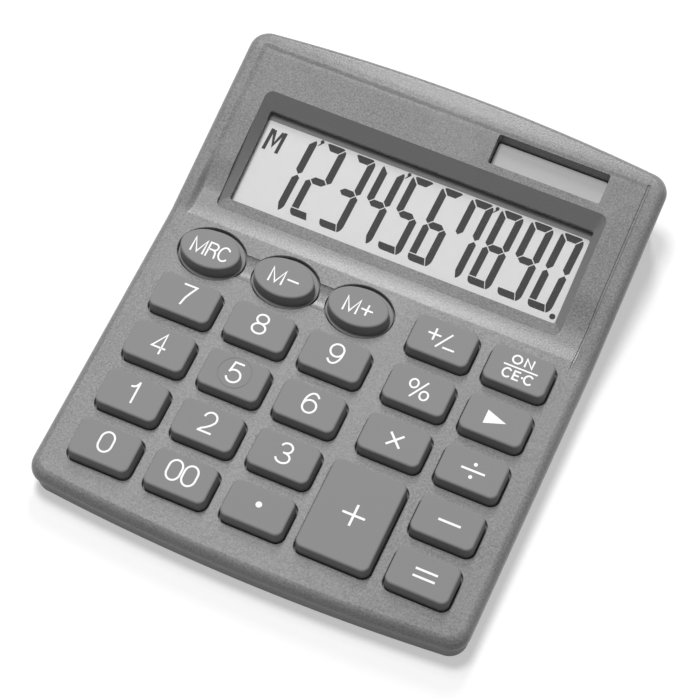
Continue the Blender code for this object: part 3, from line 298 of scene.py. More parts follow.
def key_centre(key):
    k = keypad()
    if key == "key_plus":
        column, row = 3, 0.5
    elif key in MEMORY_KEYS:
        column, row = MEMORY_KEYS[key], 4
    else:
        column, row = SMALL_KEYS[key]
    x = (column - 2) * k.column_pitch - k.block_gap / 2 + k.offset_x + (k.block_gap if column > 2 else 0)
    y = k.first_row + row * k.row_pitch
    if key == "key_plus":
        x -= 1.25 * MM
    if key in MEMORY_KEYS:
        x, y = x - 0.25 * MM, y + 0.5 * MM
    return x, y


def hole_outline(key, growth):
    k = keypad()
    if key in MEMORY_KEYS:
        x, y = key_centre(key)
        return oval(OVAL_HOLE[0] + 2 * growth, OVAL_HOLE[1] + 2 * growth, (x, y + 0.25 * MM))
    width, depth = k.hole_width, k.hole_length
    if key == "key_plus":
        width, depth = width + 2.5 * MM, depth + k.row_pitch
    return rounded_rectangle(width + 2 * growth, depth + 2 * growth, k.hole_radius + growth, key_centre(key))


def window_outline(side, front, rear, radius):
    c = casing()
    front_y, rear_y = c.window_front - front, c.window_rear + rear
    centre = (c.window_shift, (front_y + rear_y) / 2)
    return rounded_rectangle(c.window_width + 2 * side, rear_y - front_y, radius, centre)


def with_divided_sides(outline, count=24):
    """The outline with its two sides divided, so that they can follow the panel."""
    points = []
    for (x, y), (next_x, next_y) in zip(outline, outline[1:] + outline[:1]):
        parts = count if abs(next_y - y) > 10 * MM else 1
        points += [(x + (next_x - x) * k / parts, y + (next_y - y) * k / parts) for k in range(parts)]
    return points


def light_cell_outline(growth):
    width, depth = LIGHT_CELL_HOLE
    return rounded_rectangle(width + 2 * growth, depth + 2 * growth, 0.5 * MM, LIGHT_CELL_CENTRE)


def bay_outline(growth):
    width, depth = BATTERY_BAY
    radius = MM + max(growth, 0)
    return rounded_rectangle(width + 2 * growth, depth + 2 * growth, radius, BATTERY_BAY_CENTRE)


def foot_place(corner):
    side_x, side_y = CORNERS[corner]
    return side_x * (casing().width / 2 - 10 * MM), side_y * (casing().depth / 2 - 15 * MM)


def screw_place(corner):
    c = casing()
    side_x, side_y = CORNERS[corner]
    bow = c.front_bow if side_y < 0 else c.rear_bow
    return side_x * (c.width / 2 - 5.8 * MM), side_y * (c.depth / 2 - bow - 4.3 * MM)


# Heights along the casing

def rim_height(y):
    """The side rims rise between the kink and the crest, with both turns rounded."""
    c = casing()
    height = 0
    for turn, sign in ((c.kink, 1), (c.crest, -1)):
        past = min(max(y - turn + TURN_EASE, 0), 2 * TURN_EASE)
        height += sign * (past * past / (4 * TURN_EASE) + max(y - turn - TURN_EASE, 0))
    return tan(c.display_tilt) * height


def smooth_step(share):
    share = min(max(share, 0), 1)
    return share * share * (3 - 2 * share)


def panel_depth(y):
    """How far the sunk panel lies below the rims: a dip, then a sweep up beside the window."""
    c = casing()
    run = min(max((y - c.kink) / DIP_RUN, 0), 1)
    dip = -c.dip * run * (2 - run)
    rearward = max(y - c.sweep - SWEEP_RUN, 0) / (c.crest - c.sweep - SWEEP_RUN)
    plane = rim_height(y) - c.panel_drop + (c.panel_drop - c.panel_rear_drop) * rearward
    return rim_height(y) - dip - (plane - dip) * smooth_step((y - c.sweep) / SWEEP_RUN)


def rounded_edge(inset, z, reach, drop, turns):
    """Points of (inset, z) round an edge, from its upright side to its level end."""
    return [(inset + reach * (1 - cos(t)), z + drop * (1 - sin(t))) for t in turns]


def steps_between(first, last, count):
    return [first + (last - first) * k / count for k in range(count + 1)]


def on_display(x, up, w):
    """A point of the display plane: along the slope from the window's front edge, and w above its frame."""
    c = casing()
    y = c.window_front + up * cos(c.display_tilt)
    z = tan(c.display_tilt) * (y - c.kink) - c.frame_drop + w / cos(c.display_tilt)
    return x, y, z


# Building blocks

def at_height(outline, z):
    return [(x, y, z) for x, y in outline]


def stack(bm, rings):
    """Fill the first ring, then extrude that face from ring to ring."""
    bottom = bm.faces.new([bm.verts.new(point) for point in rings[0]])
    face = bottom
    for ring in rings[1:]:
        grown = bmesh.ops.extrude_face_region(bm, geom=[face])["geom"]
        if face is not bottom:
            bmesh.ops.delete(bm, geom=[face], context="FACES_ONLY")
        face = next(item for item in grown if isinstance(item, bmesh.types.BMFace))
        for vert, point in zip(face.verts, ring):
            vert.co = point


def stacked(rings):
    bm = bmesh.new()
    stack(bm, rings)
    return bm


def plate(outline, bottom, top):
    return stacked([at_height(outline, bottom), at_height(outline, top)])


def from_mm(*points):
    return [tuple(value * MM for value in point) for point in points]


def bar(profile, low_x, high_x):
    """A side profile of (y, z) points, drawn out along X."""
    return stacked([[(x, y, z) for y, z in profile] for x in (low_x, high_x)])


def block(low, high):
    bm = bmesh.new()
    bmesh.ops.create_cube(bm, size=1)
    bmesh.ops.scale(bm, vec=[b - a for a, b in zip(low, high)], verts=bm.verts)
    bmesh.ops.translate(bm, verts=bm.verts, vec=[(a + b) / 2 for a, b in zip(low, high)])
    return bm


def cylinders(places, radius, bottom, top, steps=40):
    bm = bmesh.new()
    for x, y in places:
        spot = Matrix.Translation((x, y, (bottom + top) / 2))
        bmesh.ops.create_cone(
            bm, cap_ends=True, segments=steps, radius1=radius, radius2=radius, depth=top - bottom, matrix=spot
        )
    return bm


def turned(profile, centre, steps):
    """A profile of (radius, z) points turned once about Z."""
    bm = bmesh.new()
    points = [bm.verts.new((radius, 0, z)) for radius, z in profile]
    edges = [bm.edges.new(pair) for pair in zip(points, points[1:])]
    geometry, up, middle = points + edges, (0, 0, 1), (0, 0, 0)
    bmesh.ops.spin(bm, geom=geometry, axis=up, cent=middle, angle=2 * pi, steps=steps, use_merge=True)
    bmesh.ops.remove_doubles(bm, verts=bm.verts, dist=0.001 * MM)
    bmesh.ops.translate(bm, verts=bm.verts, vec=(*centre, 0))
    return bm


def mesh_object(name, bm):
    bmesh.ops.recalc_face_normals(bm, faces=bm.faces)
    mesh = bpy.data.meshes.new(name)
    bm.to_mesh(mesh)
    bm.free()
    made = bpy.data.objects.new(name, mesh)
    bpy.context.scene.collection.objects.link(made)
    return made


def cut(target, bm, operation="DIFFERENCE"):
    """Cut or join a solid at once, and remove the cutter."""
    cutter = mesh_object("cutter", bm)
    step = target.modifiers.new("cut", "BOOLEAN")
    step.operation = operation
    step.object = cutter
    bpy.context.view_layer.update()
    shaped = bpy.data.meshes.new_from_object(target.evaluated_get(bpy.context.evaluated_depsgraph_get()))
    target.modifiers.clear()
    target.data = shaped
    bpy.data.objects.remove(cutter)


def lift(target, height_at):
    """Cut the target across where its side profile turns, then move its points."""
    c = casing()
    bm = bmesh.new()
    bm.from_mesh(target.data)
    for turn in (c.kink, c.crest):
        for y in steps_between(turn - TURN_EASE, turn + TURN_EASE, 8):
            geometry = bm.verts[:] + bm.edges[:] + bm.faces[:]
            bmesh.ops.bisect_plane(bm, geom=geometry, plane_co=(0, y, 0), plane_no=(0, 1, 0), dist=0.001 * MM)
    for vert in bm.verts:
        vert.co.z = height_at(vert.co.y, vert.co.z)
    bm.to_mesh(target.data)
    bm.free()


def place_on_case(piece):
    c = casing()
    piece.data.transform(Matrix.Translation((0, 0, c.face_height)) @ Matrix.Rotation(c.desk_tilt, 4, "X"))


def dress(piece, material, body="casing", replaces=(), sharp=35):
    """Give a finished piece its finish, its body and even shading."""
    piece.data.materials.clear()
    piece.data.materials.append(bpy.data.materials[material])
    piece.data.shade_smooth()
    piece.data.set_sharp_from_angle(angle=radians(sharp))
    even = piece.modifiers.new("even shading", "WEIGHTED_NORMAL")
    even.keep_sharp = True
    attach(piece, body)
    if replaces:
        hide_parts(*replaces)


# Strokes of the legends, in a box from 0 to 1 each way

def arc(x, y, reach_x, reach_y, start, end, steps):
    turns = [radians(start + (end - start) * k / steps) for k in range(steps + 1)]
    return [(x + reach_x * cos(t), y + reach_y * sin(t)) for t in turns]


SIX = [[(0, 0.32)] + arc(0.54, 0.44, 0.54, 0.56, 176, 44, 16), arc(0.5, 0.32, 0.5, 0.32, 0, 360, 30)]
GLYPHS = {
    "0": [arc(0.5, 0.64, 0.5, 0.36, 0, 180, 16) + arc(0.5, 0.36, 0.5, 0.36, 180, 360, 16) + [(1, 0.64)]],
    "1": [
        [(0.14, 0.74), (0.34, 0.76), (0.5, 0.83), (0.6, 0.93), (0.66, 1.04)],
        [(0.66, -0.06), (0.66, 1.06)],
    ],
    "2": [
        arc(0.5, 0.69, 0.47, 0.31, 176, -28, 16) + [(0.72, 0.38), (0.4, 0.21), (0.16, 0.12), (0.02, 0)],
        [(-0.06, 0), (1.02, 0)],
    ],
    "3": [
        arc(0.47, 0.755, 0.42, 0.245, 168, -90, 18) + [(0.34, 0.51)],
        arc(0.47, 0.255, 0.51, 0.255, 90, -166, 18),
    ],
    "4": [[(0.74, -0.06), (0.74, 1), (0.0, 0.27), (1.06, 0.27)]],
    "5": [[(0.9, 1), (0.2, 1), (0.07, 0.47)], arc(0.48, 0.32, 0.52, 0.32, 150, -162, 20)],
    "6": SIX,
    "7": [[(-0.02, 1), (1, 1), (0.72, 0.66), (0.5, 0.34), (0.36, -0.06)]],
    "8": [arc(0.5, 0.76, 0.43, 0.24, 0, 360, 26), arc(0.5, 0.26, 0.5, 0.26, 0, 360, 26)],
    "9": [[(1 - x, 1 - y) for x, y in line] for line in SIX],
    "C": [arc(0.52, 0.5, 0.52, 0.5, 38, 322, 22)],
    "E": [[(1.05, 1), (0, 1), (0, 0), (1.05, 0)], [(0, 0.51), (0.95, 0.51)]],
    "M": [[(0, -0.06), (0, 1), (0.5, 0.02), (1, 1), (1, -0.06)]],
    "display_M": [
        [(0, -0.06), (0, 1.06)],
        [(0.16, 1.02), (0.5, 0.28), (0.84, 1.02)],
        [(1, -0.06), (1, 1.06)],
    ],
    "N": [[(0, -0.06), (0, 1), (1, 0), (1, 1.06)]],
    "O": [arc(0.5, 0.5, 0.5, 0.5, 0, 360, 30)],
    "R": [
        [(0, -0.06), (0, 1)] + arc(0.6, 0.76, 0.38, 0.24, 90, -90, 10) + [(0, 0.52)],
        [(0.55, 0.52), (0.82, 0.45), (0.92, 0.3), (0.98, -0.06)],
    ],
    "minus": [[(-0.05, 0.5), (1.05, 0.5)]],
    "plus": [[(-0.05, 0.5), (1.05, 0.5)], [(0.5, -0.05), (0.5, 1.05)]],
    "times": [[(0, 0), (1, 1)], [(0, 1), (1, 0)]],
    "slash": [[(0, 0), (1, 1)]],
    "percent": [
        arc(0.17, 0.74, 0.2, 0.25, 0, 360, 22),
        arc(0.83, 0.26, 0.2, 0.25, 0, 360, 22),
        [(0.2, -0.04), (0.8, 1.04)],
    ],
}


def ribbon(bm, points, width, bottom, top):
    """A flat stroke along the points, with mitred corners and square ends."""
    closed = dist(points[0], points[-1]) < 0.01 * MM
    line = [Vector(point) for point in (points[:-1] if closed else points)]
    sides = []
    for k, here in enumerate(line):
        before = line[k - 1] if closed or k else None
        after = line[(k + 1) % len(line)] if closed or k + 1 < len(line) else None
        steps = (here - before if before else None, after - here if after else None)
        ways = [step.normalized() for step in steps if step]
        along = sum(ways, Vector((0, 0))).normalized()
        reach = width / 2 / max(along.dot(ways[0]), 0.55)
        across = Vector((-along.y, along.x)) * reach
        sides.append((here + across, here - across))
    rings = [[bm.verts.new((*spot, z)) for spot in pair for z in (bottom, top)] for pair in sides]
    pairs = list(zip(rings, rings[1:])) + ([(rings[-1], rings[0])] if closed else [])
    for (a, b, c, d), (e, f, g, h) in pairs:
        for corners in ((b, f, h, d), (a, c, g, e), (a, e, f, b), (c, d, h, g)):
            bm.faces.new(corners)
    if not closed:
        for a, b, c, d in (rings[0], rings[-1]):
            bm.faces.new((a, b, d, c))


def draw_glyph(bm, glyph, x, y, width, height, stroke, bottom, top):
    """One legend sign, with its sizes in millimetres."""
    if glyph == "dot":
        stack(bm, [at_height(oval(width * MM, height * MM, (x * MM, y * MM), 28), z) for z in (bottom, top)])
        return
    if glyph == "arrow":
        corners = ((x - width / 2, y - height / 2), (x + width / 2, y), (x - width / 2, y + height / 2))
        stack(bm, [[(a * MM, b * MM, z) for a, b in corners] for z in (bottom, top)])
        return
    for number, line in enumerate(GLYPHS[glyph]):
        points = []
        for across, up in line:
            a = x + (across - 0.5) * (width - stroke)
            b = y + (up - 0.5) * (height - stroke)
            points.append((a * MM, b * MM))
        ribbon(bm, points, stroke * MM, bottom, top + 0.002 * MM * number)


def legend_of(key):
    if key in LEGENDS:
        return LEGENDS[key]
    x, y = (value / MM for value in key_centre(key))
    digits = key.removeprefix("key_")
    start = -(len(digits) - 1) / 2
    return [(digit, x + 0.1 + (start + k) * 3.75, y + 0.57, *DIGIT_SIZE) for k, digit in enumerate(digits)]


# Finishes

def add_node(nodes, kind, **values):
    node = nodes.new("ShaderNode" + kind)
    for name, value in values.items():
        node.inputs[name.replace("_", " ")].default_value = value
    return node


def surface(name, shade, rough, grain=0.06, size=0.35, bump=0, spread=0.05, metal=0, specular=0.5, alpha=1):
    """A moulded or painted surface: speckled colour, uneven gloss and a fine relief."""
    material = bpy.data.materials.new(name)
    material.use_nodes = True
    nodes, links = material.node_tree.nodes, material.node_tree.links
    shader = nodes["Principled BSDF"]
    shader.inputs["Metallic"].default_value = metal
    shader.inputs["Specular IOR Level"].default_value = specular
    shader.inputs["Alpha"].default_value = alpha
    place = add_node(nodes, "TexCoord")
    speckle = add_node(nodes, "TexNoise", Scale=1 / (size * MM), Detail=3)
    cloud = add_node(nodes, "TexNoise", Scale=1 / (16 * MM))
    for noise in (speckle, cloud):
        links.new(place.outputs["Object"], noise.inputs["Vector"])
    both = add_node(nodes, "Mix", Factor=0.2)
    links.new(speckle.outputs["Fac"], both.inputs["A"])
    links.new(cloud.outputs["Fac"], both.inputs["B"])
    ramp = add_node(nodes, "ValToRGB")
    low, high = ramp.color_ramp.elements
    low.position, high.position = 0.28, 0.72
    low.color = (*[channel * (1 - grain) for channel in shade], 1)
    high.color = (*[min(channel * (1 + grain), 1) for channel in shade], 1)
    links.new(both.outputs["Result"], ramp.inputs["Fac"])
    links.new(ramp.outputs["Color"], shader.inputs["Base Color"])
    gloss = add_node(nodes, "MapRange", To_Min=rough - spread, To_Max=rough + spread)
    links.new(cloud.outputs["Fac"], gloss.inputs["Value"])
    links.new(gloss.outputs["Result"], shader.inputs["Roughness"])
    if bump:
        relief = add_node(nodes, "Bump", Strength=0.6, Distance=bump * MM)
        links.new(speckle.outputs["Fac"], relief.inputs["Height"])
        links.new(relief.outputs["Normal"], shader.inputs["Normal"])


class CALC_OT_finishes(bpy.types.Operator):
    """Make every finish and put one on each inner piece of the frame"""

    bl_idname = "calculator.finishes"
    bl_label = "Finishes"

    def execute(self, context):
        f = context.scene.calculator_finishes
        surface("casing_paint", f.paint, 0.27, grain=0.4, size=0.42, bump=0.05, specular=0.4)
        # Painted shade: the window's walls get a darker, flatter tone for the shade they lie in.
        surface("recess_paint", f.recess, 0.6, grain=0.1, size=0.26, specular=0.2)
        surface("shell_plastic", f.shell, 0.5, grain=0.1, size=0.3, bump=0.015, specular=0.4)
        surface("key_plastic", f.keys, 0.45, grain=0.04, size=0.25, bump=0.006, specular=0.35)
        surface("legend_ink", f.ink, 0.5, grain=0.03, size=0.4, specular=0.3)
        surface("display_film", f.glass, 0.4, grain=0.02, size=1.5, specular=0.2)
        surface("display_segments", f.segments, 0.7, grain=0.1, size=0.5, specular=0.1)
        surface("mask_grey", grey(0.17), 0.6, grain=0.05, size=0.5, specular=0.2)
        surface("light_cell", f.cell, 0.35, grain=0.02, size=0.8, specular=0.3)
        clear = {"grain": 0.02, "size": 2, "spread": 0.02, "specular": 0.2, "alpha": 0.03}
        surface("clear_window", grey(0.8), 0.3, **clear)
        surface("foot_rubber", grey(0.035), 0.8, grain=0.15, size=0.4, bump=0.03, specular=0.3)
        surface("bright_steel", grey(0.62), 0.28, size=0.3, metal=1)
        surface("milky_silicone", (0.68, 0.68, 0.66), 0.6, grain=0.04)
        surface("board_resin", (0.28, 0.20, 0.09), 0.55, grain=0.12, size=0.5)
        surface("chip_blob", grey(0.02), 0.35, grain=0.2)
        surface("capacitor_blue", (0.04, 0.05, 0.12), 0.4, grain=0.08)
        surface("ribbon_film", (0.72, 0.68, 0.58), 0.4, grain=0.05)
        surface("red_insulation", (0.45, 0.03, 0.03), 0.45)
        surface("black_insulation", grey(0.03), 0.45, grain=0.1)
        metal = ["battery", "battery_contact_positive", "battery_contact_negative"]
        worn_by = {
            "shell_plastic": ["battery_cover"],
            "milky_silicone": ["key_sheet"],
            "board_resin": ["circuit_board"],
            "chip_blob": ["chip"],
            "capacitor_blue": ["capacitor"],
            "ribbon_film": ["display_ribbon"],
            "bright_steel": metal + [f"board_screw_{n}" for n in range(1, 5)],
            "red_insulation": ["solar_lead_red", "battery_lead_red"],
            "black_insulation": ["solar_lead_black", "battery_lead_black"],
            "light_cell": ["solar_cell", "solar_lens"],
            "display_film": ["display_glass"],
            "clear_window": ["display_lens"],
        }
        for name, pieces in worn_by.items():
            for piece in pieces:
                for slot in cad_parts[piece].material_slots:
                    slot.material = bpy.data.materials[name]
        return {"FINISHED"}


class CALC_OT_top_housing(bpy.types.Operator):
    """Build the painted top half with its panel, window and key holes"""

    bl_idname = "calculator.top_housing"
    bl_label = "Top housing"

    def execute(self, context):
        c = casing()
        housing = self.shell()
        turns = steps_between(c.kink - TURN_EASE, c.kink + 4.05 * MM, 20)
        turns += steps_between(c.sweep, c.sweep + SWEEP_RUN, 24)
        lowest = -c.frame_drop - 0.8 * MM
        cell_floor = -c.panel_drop - 4.12 * MM
        self.thicken(housing, turns, lowest, cell_floor)
        cut(housing, stacked(self.panel_slices(turns)))
        self.cut_window(housing, lowest)
        cut(housing, plate(light_cell_outline(0), cell_floor, OVERRUN))
        cut(housing, plate(light_cell_outline(-0.6 * MM), cell_floor - OVERRUN, cell_floor + OVERRUN / 4))
        self.cut_key_holes(housing)
        lift(housing, lambda y, z: z + rim_height(y))
        walls = [face.index for face in housing.data.polygons if self.lines_the_window(face)]
        place_on_case(housing)
        dress(housing, "casing_paint", replaces=["top_housing"], sharp=24)
        # The window's steep walls get the darker tone as painted shade.
        housing.data.materials.append(bpy.data.materials["recess_paint"])
        for index in walls:
            housing.data.polygons[index].material_index = 1
        return {"FINISHED"}

    def shell(self):
        """The outer form with its rolled edge, hollowed from below."""
        c = casing()
        outer = rounded_edge(0, 0, c.roll, -c.skirt, [radians(9 * k) for k in range(11)])
        rings = [at_height(casing_outline(i), z) for i, z in outer]
        housing = mesh_object("top_housing_shell", stacked(rings))
        inner = ((c.wall, -c.skirt - OVERRUN), (c.wall, -c.skirt), (c.roll, -c.wall))
        cut(housing, stacked([at_height(casing_outline(i), z) for i, z in inner]))
        return housing

    def thicken(self, housing, turns, lowest, cell_floor):
        """Add what lies under the panel, round the window and round the light cell's recess."""
        c = casing()
        half_width = c.panel_half + 1.1 * MM
        under = [(y, max(-panel_depth(y) - c.wall, lowest)) for y in turns]
        under += [(turns[-1], -c.wall / 2), (turns[0], -c.wall / 2)]
        cut(housing, bar(under, -half_width, half_width), "UNION")
        roof = -c.panel_drop - c.wall / 2
        frame_outline = window_outline(3.3 * MM, 1.1 * MM, 4.2 * MM, 1.6 * MM)
        cut(housing, plate(frame_outline, lowest, roof), "UNION")
        cut(housing, plate(light_cell_outline(1.2 * MM), cell_floor - 0.6 * MM, roof), "UNION")

    def panel_slices(self, turns):
        """Side profiles of the panel's cutter, from its soft left edge to its grooved right edge."""
        c = casing()
        left_run, right_run, groove_depth = 1.8 * MM, 0.35 * MM, 0.3 * MM
        floor = [(y, panel_depth(y)) for y in turns + [c.crest - 0.7 * MM]] + [(c.crest, 0)]
        across = [(-c.panel_half - MM + left_run * t, smooth_step(t), 0) for t in steps_between(0, 1, 6)]
        across += [(c.panel_half - 0.5 * MM, 1, 0), (c.panel_half - 0.35 * MM, 1, groove_depth)]
        for t in steps_between(1, 0, 6):
            across.append((c.panel_half + right_run - right_run * t, smooth_step(t), groove_depth * t))
        slices = []
        for x, sunk, groove in across:
            profile = [(x, y, 0.04 * MM * (1 - sunk) - depth * sunk - groove) for y, depth in floor]
            slices.append(profile + [(x, c.crest, OVERRUN), (x, turns[0], OVERRUN)])
        return slices

    def cut_window(self, housing, lowest):
        """Cut the window's sloping walls, which follow the panel, and the opening below them."""
        c = casing()
        opening = with_divided_sides(window_outline(0, 0, 0, 0.6 * MM))
        edge = with_divided_sides(window_outline(c.window_slope, c.strip, c.window_rear_slope, 1.9 * MM))
        bevel = []
        for x, y in edge:
            strip_depth = c.frame_drop - 0.06 * MM - 0.11 * (y - c.window_front + c.strip)
            bevel.append((x, y, -max(panel_depth(y), strip_depth)))
        cut(housing, stacked([at_height(opening, -c.frame_drop), bevel, at_height(edge, OVERRUN)]))
        cut(housing, plate(opening, lowest - OVERRUN, -c.frame_drop + OVERRUN / 2))

    def cut_key_holes(self, housing):
        """Cut the holes with their soft lips, and the shallow channel that joins the oval keys."""
        lip = ((0, -3.6), (0, -0.25), (0.03, -0.12), (0.1, -0.04), (0.22, 0), (0.22, 2))
        for key in ALL_KEYS:
            cut(housing, stacked([at_height(hole_outline(key, grow * MM), z * MM) for grow, z in lip]))
        (first_x, middle), (last_x, _) = key_centre("key_memory_recall"), key_centre("key_memory_plus")
        half_width = 3.25 * MM
        channel = [(middle + half_width, OVERRUN), (middle - half_width, OVERRUN)]
        channel += [(middle + half_width * a, MM * b) for a, b in arc(0, 0, 1, 1, 180, 360, 16)]
        cut(housing, bar(channel, first_x, last_x))

    def lines_the_window(self, face):
        """Whether a face is one of the steep walls round the window, which take the darker tone of painted
        shade.
        """
        c = casing()
        x, y, z = face.center
        depth = rim_height(y) - z
        if face.normal.dot((0, -sin(c.display_tilt), cos(c.display_tilt))) > 0.985:
            return False
        reach = c.window_width / 2 + c.window_slope
        inside = abs(x - c.window_shift) < reach and c.window_front < y < c.window_rear + c.window_rear_slope
        return inside and c.panel_drop < depth < c.frame_drop


class CALC_OT_bottom_housing(bpy.types.Operator):
    """Build the bottom half with its screw wells, foot seats and battery bay"""

    bl_idname = "calculator.bottom_housing"
    bl_label = "Bottom housing"

    def execute(self, context):
        c = casing()
        lip = c.wall + c.gap
        line = -c.skirt - c.gap
        rings = [(lip + 1.2 * MM, -c.front_height + 1.6 * MM), (lip + 0.8 * MM, line + 1.2 * MM)]
        rings += [(lip, line + 1.2 * MM), (lip, line), (0.5 * MM, line), (0.4 * MM, line - 0.1 * MM)]
        rings.append((0.8 * MM, -c.front_height + 0.7 * MM))
        turns = [radians(turn) for turn in (22.5, 45, 67.5, 90)]
        rings += rounded_edge(0.8 * MM, -c.front_height, 0.7 * MM, 0.7 * MM, turns)
        rings = [at_height(casing_outline(i), z) for i, z in rings]
        first_lower = 6
        rings[first_lower:] = [self.leaned_in(ring) for ring in rings[first_lower:]]
        housing = mesh_object("bottom_housing_shell", stacked(rings))
        middle = (line - c.front_height + 1.6 * MM) / 2
        lean = tan(c.desk_tilt)
        lift(housing, lambda y, z: z + rim_height(y) if z > middle else z - (y + c.depth / 2) * lean)
        place_on_case(housing)

        wells = [screw_place(corner) for corner in CORNERS]
        for place in wells:
            top = c.face_height + place[1] * sin(c.desk_tilt) - 4.9 * MM
            cut(housing, cylinders([place], 2.2 * MM, c.stand + 0.8 * MM, top), "UNION")
        cut(housing, cylinders(wells, 1.05 * MM, -OVERRUN, c.face_height))
        cut(housing, cylinders(wells, 1.65 * MM, -OVERRUN, c.stand + 1.9 * MM))
        cut(housing, cylinders([foot_place(corner) for corner in CORNERS], 4.5 * MM, -OVERRUN, 1.5 * MM, 64))
        cut(housing, plate(bay_outline(MM), 0.9 * MM, 7.1 * MM), "UNION")
        cut(housing, plate(bay_outline(0), -OVERRUN, 2.1 * MM))
        cut(housing, plate(bay_outline(-1.4 * MM), -OVERRUN, 6.1 * MM))
        for x in (-23, -13):
            cut(housing, block(*from_mm((x - 2.3, 39.3, 1.1), (x + 2.3, 43.2, 4))))
        dress(housing, "shell_plastic", replaces=["bottom_housing"])
        return {"FINISHED"}

    def leaned_in(self, ring):
        """The ring narrowed towards the rear, so that the sides lean in under the rim."""
        c = casing()
        full = 0.6
        leaned = []
        for x, y, z in ring:
            rearward = min(max(y / c.depth + 0.2, 0), full)
            leaned.append((x - x / c.width * 3 * MM * rearward / full, y, z))
        return leaned


class CALC_OT_feet_and_screws(bpy.types.Operator):
    """Turn the four feet and the four cross-head screws of the underside"""

    bl_idname = "calculator.feet_and_screws"
    bl_label = "Feet and screws"

    def execute(self, context):
        c = casing()
        foot = ((0, 1.2), (4.2, 1.2), (4.2, 0.4), (4.15, 0.2), (4.03, 0.07), (3.85, 0), (0, 0))
        for corner in CORNERS:
            centre = foot_place(corner)
            made = mesh_object(f"foot_{corner}_pad", turned(from_mm(*foot), centre, 56))
            dress(made, "foot_rubber", replaces=[f"foot_{corner}"])
            centre = screw_place(corner)
            tip = (c.face_height + centre[1] * sin(c.desk_tilt)) / MM - 2
            shank = ((0, tip), (0.25, tip), (0.75, tip - 0.75), (0.75, 2.2))
            head = ((1.3, 1.7), (1.35, 1.6), (1.35, 1.3), (1.2, 1.12), (0, 1.1))
            made = mesh_object(f"case_screw_{corner}_head", turned(from_mm(*shank, *head), centre, 32))
            for reach_x, reach_y in from_mm((0.85, 0.16), (0.16, 0.85)):
                low = (centre[0] - reach_x, centre[1] - reach_y, 0.5 * MM)
                high = (centre[0] + reach_x, centre[1] + reach_y, 1.7 * MM)
                cut(made, block(low, high))
            dress(made, "bright_steel", replaces=[f"case_screw_{corner}"])
        return {"FINISHED"}


class CALC_OT_keys(bpy.types.Operator):
    """Build the twenty-four keys and print their legends"""

    bl_idname = "calculator.keys"
    bl_label = "Keys"

    def execute(self, context):
        for key in ALL_KEYS:
            self.make_cap(key)
            self.print_legend(key)
        return {"FINISHED"}

    def make_cap(self, key):
        """A hollow cap with a plunger inside and a flange below, and a step round it where it is oval."""
        k = keypad()
        centre = key_centre(key)
        step = k.oval_step if key in MEMORY_KEYS else 0
        flange = -casing().wall - casing().gap
        roof = k.stand - 1.3 * MM
        inner = -k.clearance - 1.1 * MM - step
        profile = [(inner - k.draft, roof), (inner, flange - 0.6 * MM)]
        profile += [(0.6 * MM, flange - 0.6 * MM), (0.6 * MM, flange), (-k.clearance, flange)]
        if step:
            profile += rounded_edge(-k.clearance, k.oval_stand, -0.15 * MM, -0.15 * MM, (0, 0.5, 1, 1.5))
            inside = -k.clearance - step
            profile += [(inside + 0.08 * MM, k.oval_stand), (inside, k.oval_stand + 0.08 * MM)]
        side = -k.clearance - step - k.draft
        turns = [radians(turn) for turn in range(0, 91, 15)]
        profile += rounded_edge(side, k.stand, -k.edge, -k.edge, turns)

        breadth = 3.4 * MM
        if step:
            plunger = oval(breadth, breadth, centre)
        else:
            plunger = rounded_rectangle(breadth, breadth, 1.2 * MM, centre)
        rings = [at_height(plunger, flange - 1.2 * MM), at_height(plunger, roof)]
        rings += [at_height(hole_outline(key, growth), z) for growth, z in profile]
        if step:
            above_step = -8
            rings[above_step:] = [self.flattened(ring, centre[1]) for ring in rings[above_step:]]
        made = mesh_object(f"{key}_cap", stacked(rings))
        if key == "key_5":
            across, deep = 0.16 * MM, 0.1 * MM
            circle = arc(0, 0, 1, 1, 0, 360, 16)
            ring = [(3.8 * MM + across * a, k.stand + deep * b) for a, b in circle]
            cut(made, turned(ring, (centre[0] + 0.1 * MM, centre[1] + 0.4 * MM), 72))
        place_on_case(made)
        dress(made, "key_plastic", key, replaces=[key])

    def flattened(self, ring, middle):
        """The top of an oval key is shorter than its hole and sits nearer its front."""
        return [(x, middle - 0.3 * MM + 0.876 * (y - middle - 0.25 * MM), z) for x, y, z in ring]

    def print_legend(self, key):
        """Every sign on a key's top, as one thin piece."""
        top = keypad().stand
        bm = bmesh.new()
        for sign in legend_of(key):
            draw_glyph(bm, *sign, top - 0.02 * MM, top + 0.02 * MM)
        printed = mesh_object(f"{key}_legend", bm)
        place_on_case(printed)
        dress(printed, "legend_ink", key)


